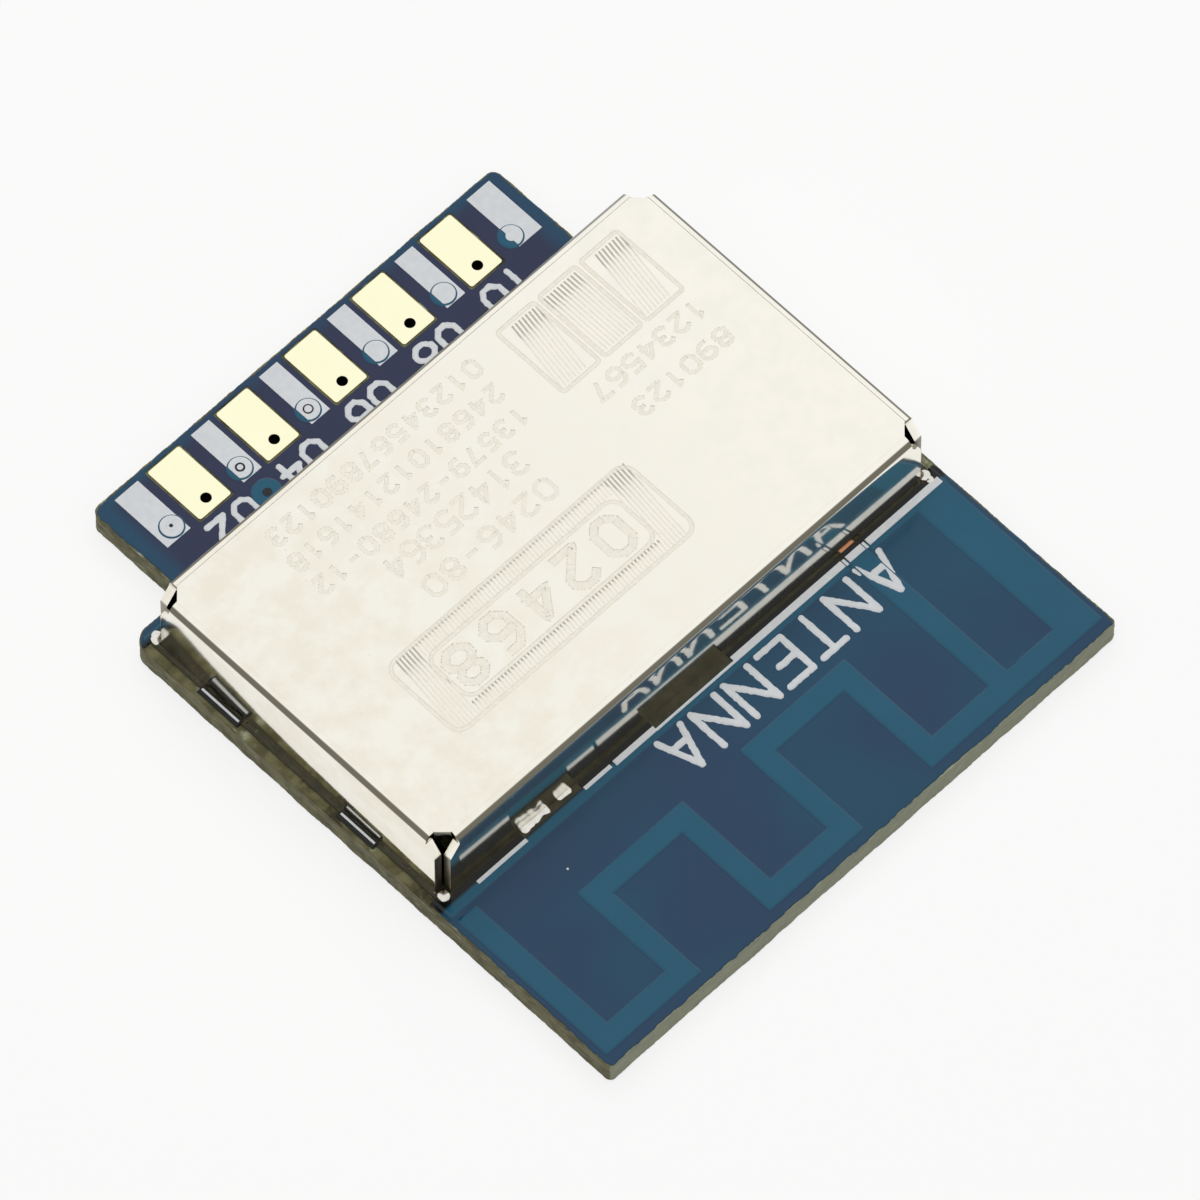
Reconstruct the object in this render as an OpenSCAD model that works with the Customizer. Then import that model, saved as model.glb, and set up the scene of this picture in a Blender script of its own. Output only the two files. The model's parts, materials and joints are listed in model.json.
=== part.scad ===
// Wireless network module: a small circuit board with a printed meander antenna at one end,
// a soldered shield can over its chip, and a tongue of plated edge contacts at the other end.
// Millimetres. X runs across the board, +Y points from the antenna edge to the contact tongue,
// and +Z points out of the side that carries the shield can. The origin is the middle of the
// underside.

/* [Board] */
// Width of the board across its antenna end
board_w = 14.9; // [14.8:0.1:18]
// Length of the board from the antenna edge to the end of the tongue
board_l = 17.0; // [16.6:0.1:22]
// Thickness of the bare glass-fibre board
core_t = 0.6; // [0.4:0.05:1.6]
// Width of the contact tongue
tongue_w = 11.85; // [11.6:0.05:12.6]
// How far the tongue stands out past the shoulders
tongue_l = 2.8; // [2.4:0.1:3.2]
// Radius of the two round shoulder corners
shoulder_r = 0.4; // [0.1:0.05:0.6]
// Radius of the routed inner corners beside the tongue
inner_r = 0.4; // [0.1:0.05:0.5]
// Radius of the tongue's own corners
tongue_r = 0.22; // [0.05:0.01:0.25]
// Radius of the corners at the antenna edge
front_r = 0.12; // [0.05:0.01:0.3]

/* [Layers] */
// Thickness of the copper foil
copper_t = 0.035; // [0.018:0.001:0.07]
// Thickness of the solder mask
mask_t = 0.025; // [0.015:0.001:0.04]
// Thickness of the white printed marks
print_t = 0.02; // [0.01:0.001:0.03]
// Bare rim between the mask and the cut edge of the board
mask_rim = 0.04; // [0.02:0.01:0.1]
// Gap between the mask and a copper land that it leaves bare
mask_gap = 0.05; // [0.03:0.01:0.08]

/* [Contacts] */
// Distance between neighbouring contacts on one side
contact_pitch = 2.0; // [1.9:0.05:2.1]
// Width of a contact
contact_w = 0.92; // [0.7:0.02:1.0]
// Length of a contact
contact_l = 1.6; // [1.2:0.05:1.8]
// Bare board between a contact and the end of the tongue
contact_end = 0.16; // [0.1:0.01:0.3]
// Diameter of the plated hole in each contact
hole_d = 0.25; // [0.2:0.01:0.3]
// Distance of that hole from the inner end of the contact
hole_in = 0.3; // [0.25:0.01:0.5]
// Thickness of the copper plating in a hole
plate_t = 0.025; // [0.02:0.005:0.05]
// Width of the copper ring round a hole
ring_w = 0.1; // [0.06:0.01:0.12]

/* [Antenna] */
// Width of the antenna's thin track
track_w = 0.39; // [0.3:0.01:0.45]
// Width of the wide grounded leg
short_w = 0.79; // [0.5:0.01:0.9]
// Distance from the antenna to the side edges of the board
antenna_side = 0.22; // [0.2:0.01:0.4]
// Distance from the antenna to the antenna edge of the board
antenna_front = 0.33; // [0.2:0.01:0.5]
// Bare lacquer between the antenna's inner runs and the ground copper
antenna_gap = 1.55; // [1.2:0.05:1.9]
// Spacing of the legs that a run at the board's edge joins
meander_out = 2.22; // [2.0:0.01:2.3]
// Spacing of the legs that a run on the inner side joins
meander_in = 2.55; // [2.3:0.01:2.6]
// Gap between the open end of the antenna and the ground copper
open_gap = 0.28; // [0.2:0.01:0.5]

/* [Shield can] */
// Distance from the can to the side edges of the board
can_side = 0.3; // [0.25:0.05:0.5]
// Outer length of the can
can_l = 8.63; // [8.4:0.01:9.3]
// Height of the can above the copper that it stands on
can_h = 2.0; // [1.6:0.05:3]
// Thickness of the can's sheet
can_t = 0.2; // [0.12:0.01:0.24]
// Outer radius of the can's bends
can_r = 0.25; // [0.25:0.01:0.4]
// Distance from the can's corner to where its bends begin
relief = 0.5; // [0.45:0.01:0.8]
// Height over which the end of a wall widens below the bend
taper_h = 0.35; // [0.2:0.01:0.6]
// Slit between two walls at a corner
slit = 0.03; // [0.02:0.005:0.06]
// Distance from the shoulders to the can's rear wall
can_back = 0.34; // [0.3:0.01:0.5]
// Bare copper that shows outside the can's foot
land_out = 0.1; // [0.08:0.01:0.12]
// Gap between the can's foot and the mask round it
foot_gap = 0.03; // [0.02:0.005:0.06]
// Radius of the solder fillet at the foot of the front wall
tack_r = 0.15; // [0.1:0.01:0.18]
// Radius of the thin solder seam along the side walls
seam_r = 0.07; // [0.04:0.005:0.08]
// Radius of the solder drop in each corner of the can
drop_r = 0.17; // [0.12:0.01:0.18]

/* [Inside the can] */
// Side of the square main chip
chip_w = 5.0; // [4:1:5]
// Height of the main chip
chip_h = 0.85; // [0.6:0.05:1.0]
// Spacing of the chip's terminals
pin_pitch = 0.5; // [0.4:0.05:0.5]
// Length of the crystal's case
crystal_l = 3.2; // [2.5:0.1:3.2]
// Width of the crystal's case
crystal_w = 2.5; // [2.0:0.1:2.5]
// Height of the crystal with its lid
crystal_h = 0.65; // [0.5:0.05:0.9]
// Length of a capacitor, resistor or inductor
small_l = 1.0; // [0.9:0.05:1.05]
// Width of a capacitor, resistor or inductor
small_w = 0.5; // [0.4:0.05:0.55]
// Height of a capacitor or inductor
tall_h = 0.5; // [0.4:0.05:0.6]
// Height of a resistor
flat_h = 0.35; // [0.3:0.05:0.4]

/* [Hidden] */
FRONT = 5;              // contacts on the can's side
REAR = 6;               // contacts on the underside, halfway between the others
CAPACITORS = 8;
RESISTORS = 4;
INDUCTORS = 2;

$fn = 40;
cut = 0.01;             // how far a cutter runs past the face that it cuts
skirt = 0.03;           // how far the mask's raised part reaches past the copper under it

// Heights of the layers, from the underside up
z_core = copper_t + mask_t;
z_top = z_core + core_t;
z_land = z_top + copper_t;
z_print = [z_top + mask_t, z_land + mask_t];

// Lines across the board
y_edge = -board_l / 2;
y_tip = board_l / 2;
y_shoulder = y_tip - tongue_l;
y_pad = y_tip - contact_end - contact_l;
y_hole = y_pad + hole_in;
can_w = board_w - 2 * can_side;
can_y1 = y_shoulder - can_back;
can_y0 = can_y1 - can_l;
can_y = (can_y0 + can_y1) / 2;
ground_lead = 0.38;                      // ground copper in front of the can
ground_y0 = can_y0 - ground_lead;
ground_y1 = can_y1 + land_out;
ground_x = can_w / 2 + land_out;

// Inner faces of the can's walls
in_x = can_w / 2 - can_t;
in_y0 = can_y0 + can_t;
in_y1 = can_y1 - can_t;

hole_r = hole_d / 2;
drill_r = hole_r + plate_t;
ring_r = hole_r + ring_w;
contact_r = 0.06;                        // radius of a contact's corners

function front_x(i) = (i - (FRONT + 1) / 2) * contact_pitch;
function rear_x(i) = (i - (REAR + 1) / 2) * contact_pitch;

// Antenna: middles of its legs, from the open end to the feed
leg_x0 = -board_w / 2 + antenna_side + track_w / 2;
function leg_x(i) = leg_x0 + ceil(i / 2) * meander_out + floor(i / 2) * meander_in;
LEGS = 5;                                // index of the feed leg
run_y0 = y_edge + antenna_front + track_w / 2;
run_y1 = ground_y0 - antenna_gap - track_w / 2;
short_x1 = board_w / 2 - antenna_side;   // outer edge of the wide leg
feed_gap = 0.2;                          // ground copper stays this far from the feed leg

// The plated hole beside the tongue that joins layers under the mask
tented_x = rear_x(2);
tented_y = can_y1 + 0.86;                // middle of that hole, behind the can
tented_ring = 0.27;

// Ground holes: a row inside each side wall, and a grid under the chip
GROUND_ROW = 5;
row_in = 0.25;                           // from a side wall to the middle of its row
row_end = 1.2;                           // from the front or rear wall to the row's last hole
row_x = in_x - row_in;
row_step = (in_y1 - in_y0 - 2 * row_end) / (GROUND_ROW - 1);
thermal_w = 3.2;                         // side of the copper square under the chip
thermal_step = 1.0;                      // spacing of the holes in that square

// Inside the can
chip_x = 0.6;
chip_y = can_y + 0.2;
pins = 8;                                // terminals on each side of the chip
pin_w = 0.25;
pin_l = 0.4;
frame_t = 0.2;
stand_off = 0.02;                        // gap under the chip's body
pin_land = 0.3;                          // land outside each terminal
copper_gap = 0.2;                        // ground copper stays this far from other lands
crystal_gap = 0.85;                      // between the chip and the crystal
crystal_x = chip_x - chip_w / 2 - crystal_gap - crystal_l / 2;
crystal_y = chip_y;
crystal_lid_t = 0.25;
crystal_lid_r = 0.3;
castle_r = 0.18;                         // round notch in each corner of the crystal's case
crystal_land = [1.1, 0.9];
dot_in = 0.7;                            // from the chip's sides to the mark at its first terminal
dot_r = 0.25;
dot_t = 0.05;                            // depth of that mark
end_t = 0.02;                            // thickness of a metal end cap
end_l = 0.24;                            // length of a metal end cap
end_land = 0.5;                          // length of the land under an end cap
land_over = 0.025;                       // land past the side of its end cap
end_mid = small_l / 2 - 0.05;            // middle of that land
row_gap = 1.2;                           // spacing of the small parts in a row
part_side = 1.0;                         // from a side wall to the first part in a row
part_end = 1.3;                          // from the front or rear wall to a row's middle
cross_end = 0.7;                         // from the front wall to the parts that lie across
left_x = -in_x + part_side;
right_x = in_x - part_side;
low_y = in_y0 + part_end;
high_y = in_y1 - part_end;
cross_y = in_y0 + cross_end;
feed_x = leg_x(LEGS);

// Middles of the small parts, and whether each lies along X
CAP_AT = [
    [left_x, high_y, false], [left_x + row_gap, high_y, false],
    [left_x + 2 * row_gap, high_y, false], [left_x, low_y, false],
    [left_x + row_gap, low_y, false], [right_x, high_y, false],
    [right_x - row_gap, high_y, false], [right_x, chip_y, false]];
RES_AT = [
    [left_x + 2 * row_gap, low_y, false], [right_x - row_gap, chip_y, false],
    [chip_x - row_gap, cross_y, true], [chip_x + row_gap, cross_y, true]];
IND_AT = [[feed_x, low_y, false], [feed_x + row_gap, low_y, false]];
SMALL_AT = concat(CAP_AT, RES_AT, IND_AT);

// Colours
MASK_BLUE = [0.16, 0.30, 0.43];
COPPER = [0.80, 0.50, 0.30];
GOLD = [0.94, 0.86, 0.55];
FIBRE = [0.50, 0.48, 0.30];
STEEL = [0.88, 0.86, 0.80];
SOLDER = [0.80, 0.81, 0.82];
INK = [0.86, 0.86, 0.91];
EPOXY = [0.12, 0.12, 0.13];

// ---- Shared shapes ----

// The sliver to cut off a square corner at (x, y) to round it; sx and sy point outwards
module corner_cut(x, y, sx, sy, r) {
    side = r + cut;
    translate([x - sx * r, y - sy * r]) difference() {
        translate([sx > 0 ? 0 : -side, sy > 0 ? 0 : -side]) square(side);
        circle(r);
    }
}

// A rectangle from (x0, y0) to (x1, y1) with all its corners rounded
module round_box(x0, y0, x1, y1, r) {
    difference() {
        translate([x0, y0]) square([x1 - x0, y1 - y0]);
        corner_cut(x0, y0, -1, -1, r);
        corner_cut(x1, y0, 1, -1, r);
        corner_cut(x0, y1, -1, 1, r);
        corner_cut(x1, y1, 1, 1, r);
    }
}

// The board's outline, moved in by i all round
module board_outline(i) {
    x = board_w / 2 - i;
    tx = tongue_w / 2 - i;
    y0 = y_edge + i;
    y1 = y_shoulder - i;
    y2 = y_tip - i;
    difference() {
        union() {
            translate([-x, y0]) square([2 * x, y1 - y0]);
            translate([-tx, y0]) square([2 * tx, y2 - y0]);
            for (s = [-1, 1]) inner_corner(s, tx, y1, inner_r + i);
        }
        for (s = [-1, 1]) {
            corner_cut(s * x, y0, s, -1, front_r);
            corner_cut(s * x, y1, s, 1, shoulder_r);
            corner_cut(s * tx, y2, s, 1, tongue_r);
        }
    }
}

// The round filling of the corner between a shoulder and the tongue
module inner_corner(s, x, y, r) {
    difference() {
        translate([s > 0 ? x - cut : -x - r, y - cut]) square([r + cut, r + cut]);
        translate([s * (x + r), y + r]) circle(r);
    }
}

// A concave fillet against a wall at x = 0 and a floor at y = 0
module fillet_2d(r) {
    toe = 0.015;
    difference() {
        translate([-r, 0]) square(r);
        translate([-r, r]) circle(r - toe);
    }
}

// Places its children at each plated hole of the contacts
module at_front_holes() for (i = [1:FRONT]) translate([front_x(i), y_hole]) children();
module at_rear_holes() for (i = [1:REAR]) translate([rear_x(i), y_hole]) children();
module at_tented_hole() translate([tented_x, tented_y]) children();
module at_ground_holes() {
    for (s = [-1, 1]) for (i = [0:GROUND_ROW - 1])
        translate([s * row_x, in_y0 + row_end + i * row_step]) children();
    for (ix = [-1:1]) for (iy = [-1:1])
        translate([chip_x + ix * thermal_step, chip_y + iy * thermal_step]) children();
}

// ---- Copper patterns, each grown by g ----

module antenna_2d(g) {
    w = track_w / 2 + g;
    // legs
    for (i = [0:LEGS]) {
        top = i == 0 ? ground_y0 - open_gap + g : i == LEGS ? low_y : run_y1 + w;
        translate([leg_x(i) - w, run_y0 - w]) square([2 * w, top - run_y0 + w]);
    }
    // runs along the board's edge, the last one out to the wide leg
    for (i = [0:2:LEGS - 1]) {
        last = i == LEGS - 1 ? short_x1 : leg_x(i + 1);
        translate([leg_x(i), run_y0 - w]) square([last - leg_x(i), 2 * w]);
    }
    // runs on the inner side
    for (i = [1:2:LEGS - 2])
        translate([leg_x(i), run_y1 - w]) square([leg_x(i + 1) - leg_x(i), 2 * w]);
    // wide leg to the ground copper
    translate([short_x1 - short_w - g, run_y0 - w])
        square([short_w + 2 * g, ground_y0 - run_y0 + w]);
}

module small_part_2d(at, g) {
    x = end_mid + end_land / 2 + g;
    y = small_w / 2 + land_over + g;
    translate([at[0], at[1]]) rotate(at[2] ? 0 : 90) translate([-x, -y]) square([2 * x, 2 * y]);
}

module chip_zone_2d(g) {
    w = chip_w / 2 + pin_land + g;
    translate([chip_x - w, chip_y - w]) square(2 * w);
}

module crystal_zone_2d(g) {
    x = crystal_l / 2 + g;
    y = crystal_w / 2 + g;
    translate([crystal_x - x, crystal_y - y]) square([2 * x, 2 * y]);
}

// The ground copper round the parts under the can
module ground_top_2d(g) {
    difference() {
        translate([-ground_x - g, ground_y0 - g])
            square([2 * (ground_x + g), ground_y1 - ground_y0 + 2 * g]);
        for (at = SMALL_AT) small_part_2d(at, copper_gap - g);
        chip_zone_2d(copper_gap - g);
        crystal_zone_2d(copper_gap - g);
        // slot for the antenna's feed leg
        x = track_w / 2 + feed_gap - g;
        translate([feed_x - x, ground_y0 - skirt - cut]) square([2 * x, low_y - ground_y0]);
    }
}

module thermal_2d(g) {
    w = thermal_w / 2 + g;
    translate([chip_x - w, chip_y - w]) square(2 * w);
}

module ground_bottom_2d(g) {
    translate([-ground_x - g, ground_y0 - g])
        square([2 * (ground_x + g), ground_y1 - ground_y0 + 2 * g]);
}

// Everything on the can's side that lifts the mask
module raised_top_2d(g) {
    antenna_2d(g);
    ground_top_2d(g);
    at_rear_holes() circle(ring_r + g);
    at_tented_hole() circle(tented_ring + g);
}

// Everything on the underside that lifts the mask
module raised_bottom_2d(g) {
    ground_bottom_2d(g);
    at_front_holes() circle(ring_r + g);
    at_tented_hole() circle(tented_ring + g);
}

// ---- Board ----

module board_core() {
    color(FIBRE) translate([0, 0, z_core]) linear_extrude(core_t) difference() {
        board_outline(0);
        at_front_holes() circle(drill_r);
        at_rear_holes() circle(drill_r);
        at_tented_hole() circle(drill_r);
        at_ground_holes() circle(drill_r);
    }
}

module ground_copper() {
    color(COPPER) difference() {
        union() {
            translate([0, 0, z_top]) linear_extrude(copper_t) {
                ground_top_2d(0);
                thermal_2d(0);
            }
            translate([0, 0, z_core - copper_t]) linear_extrude(copper_t) ground_bottom_2d(0);
            translate([0, 0, z_core]) linear_extrude(core_t) at_ground_holes() circle(drill_r);
        }
        translate([0, 0, z_core - copper_t - cut])
            linear_extrude(z_land - z_core + copper_t + 2 * cut)
                at_ground_holes() circle(hole_r);
    }
}

module antenna_track() {
    color(COPPER) translate([0, 0, z_top]) linear_extrude(copper_t) difference() {
        antenna_2d(0);
        // the feed leg ends under its inductor
        translate([feed_x - track_w, low_y - end_mid - end_land / 2]) square([2 * track_w, board_l]);
    }
}

module tented_hole() {
    color(COPPER) plated_hole(tented_x, tented_y, tented_ring, tented_ring);
}

// A plated hole with a copper ring on each side
module plated_hole(x, y, top_r, bottom_r) {
    translate([x, y, z_core - copper_t]) difference() {
        union() {
            cylinder(r = bottom_r, h = copper_t);
            cylinder(r = drill_r, h = z_land - z_core + copper_t);
            translate([0, 0, z_top - z_core + copper_t]) cylinder(r = top_r, h = copper_t);
        }
        translate([0, 0, -cut]) cylinder(r = hole_r, h = z_land - z_core + copper_t + 2 * cut);
    }
}

// A contact with its plated hole; side is 1 on the can's side and -1 on the underside
module contact(x, side) {
    color(GOLD) difference() {
        union() {
            plated_hole(x, y_hole, ring_r, ring_r);
            translate([0, 0, side > 0 ? z_top : z_core - copper_t]) linear_extrude(copper_t)
                contact_2d(x, 0);
        }
        translate([x, y_hole, 0]) cylinder(r = hole_r, h = z_land + cut);
    }
}

module contact_2d(x, g) {
    round_box(x - contact_w / 2 - g, y_pad - g, x + contact_w / 2 + g, y_pad + contact_l + g, contact_r);
}

// ---- Solder mask ----

// Bare strips beside the can, which leave two tabs of mask on each side
strip_x = board_w / 2;
tab_x = can_w / 2 + foot_gap;
tab_out = can_w / 2 + 0.21;              // outer edge of a tab
strip_front = 0.12;                      // from the can's front wall to the start of the strips
TABS = [[1.87, 2.97], [5.92, 7.12]];     // from the can's front wall to each end of a tab

module side_strip_2d(s) {
    difference() {
        translate([s > 0 ? in_x : -strip_x - cut, can_y0 + strip_front])
            square([strip_x - in_x + cut, can_l - strip_front]);
        for (t = TABS)
            translate([s > 0 ? tab_x : -tab_out, can_y0 + t[0]])
                square([tab_out - tab_x, t[1] - t[0]]);
    }
}

// Openings in the mask for the foot of the can and for the solder at it
tack_x0 = -can_w / 2 + 2.2;
tack_x1 = tack_x0 + 1.7;
bare_x0 = -1.2;
bare_x1 = 1.1;
bare_w = 0.25;

drop_x = can_w / 2 - drop_r / 2;         // middle of the solder drop in a corner of the can
drop_y = can_l / 2 - drop_r / 2;

module can_openings_2d() {
    difference() {
        translate([-can_w / 2 - foot_gap, can_y0 - foot_gap])
            square([can_w + 2 * foot_gap, can_l + 2 * foot_gap]);
        translate([-in_x + mask_gap, in_y0 + mask_gap])
            square([2 * (in_x - mask_gap), in_y1 - in_y0 - 2 * mask_gap]);
    }
    for (s = [-1, 1]) {
        side_strip_2d(s);
        for (t = [-1, 1]) translate([s * drop_x, can_y + t * drop_y]) circle(drop_r + foot_gap);
    }
    translate([tack_x0, can_y0 - tack_r - foot_gap])
        square([tack_x1 - tack_x0, tack_r + 2 * foot_gap]);
    translate([bare_x0, can_y0 - bare_w]) square([bare_x1 - bare_x0, bare_w + foot_gap]);
}

module top_solder_mask() {
    color(MASK_BLUE) difference() {
        union() {
            translate([0, 0, z_top]) linear_extrude(mask_t) board_outline(mask_rim);
            translate([0, 0, z_top]) linear_extrude(copper_t + mask_t) intersection() {
                raised_top_2d(skirt);
                board_outline(mask_rim);
            }
        }
        translate([0, 0, z_top - cut]) linear_extrude(copper_t + cut) raised_top_2d(0);
        translate([0, 0, z_top - cut]) linear_extrude(copper_t + mask_t + 2 * cut) {
            for (i = [1:FRONT]) contact_2d(front_x(i), mask_gap);
            can_openings_2d();
            chip_zone_2d(mask_gap);
            crystal_zone_2d(mask_gap);
            for (at = SMALL_AT) small_part_2d(at, mask_gap);
        }
    }
}

module bottom_solder_mask() {
    color(MASK_BLUE) difference() {
        union() {
            translate([0, 0, copper_t]) linear_extrude(mask_t) board_outline(mask_rim);
            linear_extrude(copper_t + mask_t) raised_bottom_2d(skirt);
        }
        translate([0, 0, mask_t]) linear_extrude(copper_t + cut) raised_bottom_2d(0);
        translate([0, 0, -cut]) linear_extrude(copper_t + mask_t + 2 * cut)
            for (i = [1:REAR]) contact_2d(rear_x(i), mask_gap);
    }
}

// ---- White print: a block over each rear contact, and a line round the can's foot ----

mark_w = 0.53;
mark_end_w = 0.67;                       // width of the first and the last block
tick_x = -can_w / 2 - 0.14;              // left edge of the thin stroke on each tab
tick_w = 0.06;
tick_end = 0.05;                         // from a tab's end to the end of its stroke
line_y = can_y0 - 0.33;
// [left end, right end, gap to line_y, width] of each stroke of the line
LINE = [
    [bare_x1, can_w / 2 + 0.1, 0, 0.17], [bare_x0, bare_x1, 0, 0.06],
    [-2.38, bare_x0, 0.01, 0.14], [tack_x1, -2.48, 0.05, 0.09],
    [-can_w / 2 + 0.77, tack_x0, 0.04, 0.09]];

function mark_shift(i) = i == 1 ? -0.075 : i == REAR ? 0.29 : 0.08;

module marks_2d() {
    for (i = [1:REAR]) {
        w = i == 1 || i == REAR ? mark_end_w : mark_w;
        translate([rear_x(i) + mark_shift(i) - w / 2, y_pad]) square([w, contact_l]);
    }
    for (l = LINE) translate([l[0], line_y + l[2]]) square([l[1] - l[0], l[3]]);
    for (t = TABS) translate([tick_x, can_y0 + t[0] + tick_end])
        square([tick_w, t[1] - t[0] - 2 * tick_end]);
}

module printed_marks() {
    color(INK) {
        translate([0, 0, z_print[0]]) linear_extrude(print_t) difference() {
            marks_2d();
            raised_top_2d(skirt);
        }
        translate([0, 0, z_print[1]]) linear_extrude(print_t) intersection() {
            marks_2d();
            raised_top_2d(skirt);
        }
    }
}

// ---- Shield can ----

// The section of a sheet folded down on both sides, standing on y = 0
module fold_2d(w) {
    difference() {
        fold_outline(w, can_h, can_r);
        translate([0, -cut]) fold_outline(w - 2 * can_t, can_h - can_t + cut, can_r - can_t);
    }
}

module fold_outline(w, h, r) {
    difference() {
        translate([-w / 2, 0]) square([w, h]);
        corner_cut(-w / 2, h, -1, 1, r);
        corner_cut(w / 2, h, 1, 1, r);
    }
}

// What is cut from one corner, so that the walls fold down beside each other
module corner_relief() {
    x = can_w / 2;
    y = can_l / 2;
    out = 1;
    low = can_h - can_r - taper_h;
    mid = can_h - can_r;
    far = can_t + slit;
    translate([0, 0, mid]) linear_extrude(can_r + cut)
        polygon([[x - relief, y - can_r], [x - relief, y + out], [x + out, y + out],
                 [x + out, y - relief], [x - can_r, y - relief]]);
    // the end of the side wall widens below the bend
    translate([x - can_t - slit / 2, 0, 0]) rotate([90, 0, 90]) linear_extrude(can_t + slit)
        polygon([[y - relief, mid + cut], [y - relief, mid], [y - far, low], [y + out, low],
                 [y + out, mid + cut]]);
    // and so does the end of the front or rear wall
    translate([0, y + slit / 2, 0]) rotate([90, 0, 0]) linear_extrude(can_t + slit)
        polygon([[x - relief, mid + cut], [x - relief, mid], [x - far, low], [x + out, low],
                 [x + out, mid + cut]]);
}

module shield_can() {
    color(STEEL) translate([0, can_y, z_land]) difference() {
        union() {
            rotate([90, 0, 0]) linear_extrude(can_l - 2 * (can_t + slit), center = true)
                fold_2d(can_w);
            rotate([90, 0, 90]) linear_extrude(can_w - 2 * (can_t + slit), center = true)
                fold_2d(can_l);
        }
        for (sx = [0, 1]) for (sy = [0, 1])
            mirror([sx, 0, 0]) mirror([0, sy, 0]) corner_relief();
    }
}

// ---- Solder at the foot of the can ----

module front_solder() {
    color(SOLDER) translate([tack_x0 + foot_gap, can_y0, z_land]) rotate([90, 0, 90])
        linear_extrude(tack_x1 - tack_x0 - 2 * foot_gap) fillet_2d(tack_r);
}

module side_solder() {
    end = 0.4;                           // from the can's corners to the seam
    gap = 0.15;                          // from a tab of mask to the seam
    ends = [end, TABS[0][0] - gap, TABS[0][1] + gap, TABS[1][0] - gap, TABS[1][1] + gap, can_l - end];
    color(SOLDER) for (s = [0, 1]) mirror([s, 0, 0]) for (i = [0:2:4])
        translate([-can_w / 2, can_y0 + ends[i + 1], z_land]) rotate([90, 0, 0])
            linear_extrude(ends[i + 1] - ends[i]) fillet_2d(seam_r);
}

module corner_solder() {
    far = can_t + slit;
    color(SOLDER) translate([0, can_y, z_land]) for (sx = [0, 1]) for (sy = [0, 1])
        mirror([sx, 0, 0]) mirror([0, sy, 0]) difference() {
            translate([drop_x, drop_y, 0]) sphere(r = drop_r);
            translate([can_w / 2 - 1, can_l / 2 - 1, -1]) cube([2, 2, 1]);
            translate([can_w / 2 - can_t, can_l / 2 - far - 1, -cut]) cube([can_t, 1, 1]);
            translate([can_w / 2 - far - 1, can_l / 2 - can_t, -cut]) cube([1, can_t, 1]);
        }
}

// ---- Parts under the can ----

module at_pins() {
    for (a = [0, 90, 180, 270]) for (i = [0:pins - 1])
        translate([chip_x, chip_y]) rotate(a)
            translate([(i - (pins - 1) / 2) * pin_pitch, -chip_w / 2]) children();
}

module component_lands() {
    color(COPPER) translate([0, 0, z_top]) linear_extrude(copper_t) {
        at_pins() translate([-pin_w / 2, -pin_land]) square([pin_w, pin_land + pin_l]);
        for (sx = [-1, 1]) for (sy = [-1, 1])
            translate([crystal_x + sx * (crystal_l - crystal_land[0]) / 2,
                       crystal_y + sy * (crystal_w - crystal_land[1]) / 2])
                square(crystal_land, center = true);
        for (at = SMALL_AT) for (s = [-1, 1])
            translate([at[0], at[1]]) rotate(at[2] ? 0 : 90) translate([s * end_mid, 0])
                square([end_land, small_w + 2 * land_over], center = true);
    }
}

module chip_lead_frame() {
    color(GOLD) translate([0, 0, z_land]) linear_extrude(frame_t) {
        at_pins() translate([-pin_w / 2, 0]) square([pin_w, pin_l]);
        thermal_2d(0);
    }
}

module main_chip() {
    color(EPOXY) difference() {
        translate([chip_x - chip_w / 2, chip_y - chip_w / 2, z_land + stand_off])
            cube([chip_w, chip_w, chip_h]);
        translate([0, 0, z_land - cut]) linear_extrude(frame_t + cut) {
            at_pins() translate([-pin_w / 2, -cut]) square([pin_w, pin_l + cut]);
            thermal_2d(0);
        }
        // mark beside the first terminal
        translate([chip_x - chip_w / 2 + dot_in, chip_y + chip_w / 2 - dot_in,
                   z_land + stand_off + chip_h - dot_t])
            cylinder(r = dot_r, h = 2 * dot_t);
    }
}

module crystal_case() {
    h = crystal_h - crystal_lid_t;
    color([0.75, 0.70, 0.60]) translate([crystal_x, crystal_y, z_land]) linear_extrude(h)
        difference() {
            square([crystal_l, crystal_w], center = true);
            for (sx = [-1, 1]) for (sy = [-1, 1])
                translate([sx * crystal_l / 2, sy * crystal_w / 2]) circle(castle_r);
        }
}

module crystal_lid() {
    x = crystal_l / 2 - castle_r;
    y = crystal_w / 2 - castle_r;
    color(STEEL) translate([crystal_x, crystal_y, z_land + crystal_h - crystal_lid_t])
        linear_extrude(crystal_lid_t) round_box(-x, -y, x, y, crystal_lid_r);
}

// The body of a small part of height h, between and inside its metal ends
module small_body(at, h) {
    translate([at[0], at[1], z_land + end_t]) rotate(at[2] ? 0 : 90)
        translate([-small_l / 2 + end_t, -small_w / 2 + end_t, 0])
            cube([small_l - 2 * end_t, small_w - 2 * end_t, h - 2 * end_t]);
}

module small_ends(list, h) {
    for (at = list) difference() {
        translate([at[0], at[1], z_land]) rotate(at[2] ? 0 : 90) for (s = [0, 1])
            mirror([s, 0, 0]) translate([small_l / 2 - end_l, -small_w / 2, 0])
                cube([end_l, small_w, h]);
        small_body(at, h);
    }
}

module capacitor(i) color([0.62, 0.48, 0.36]) small_body(CAP_AT[i - 1], tall_h);
module resistor(i) color(EPOXY) small_body(RES_AT[i - 1], flat_h);
module inductor(i) color([0.55, 0.62, 0.60]) small_body(IND_AT[i - 1], tall_h);
module capacitor_ends() color(SOLDER) small_ends(CAP_AT, tall_h);
module resistor_ends() color(SOLDER) small_ends(RES_AT, flat_h);
module inductor_ends() color(SOLDER) small_ends(IND_AT, tall_h);

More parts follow.
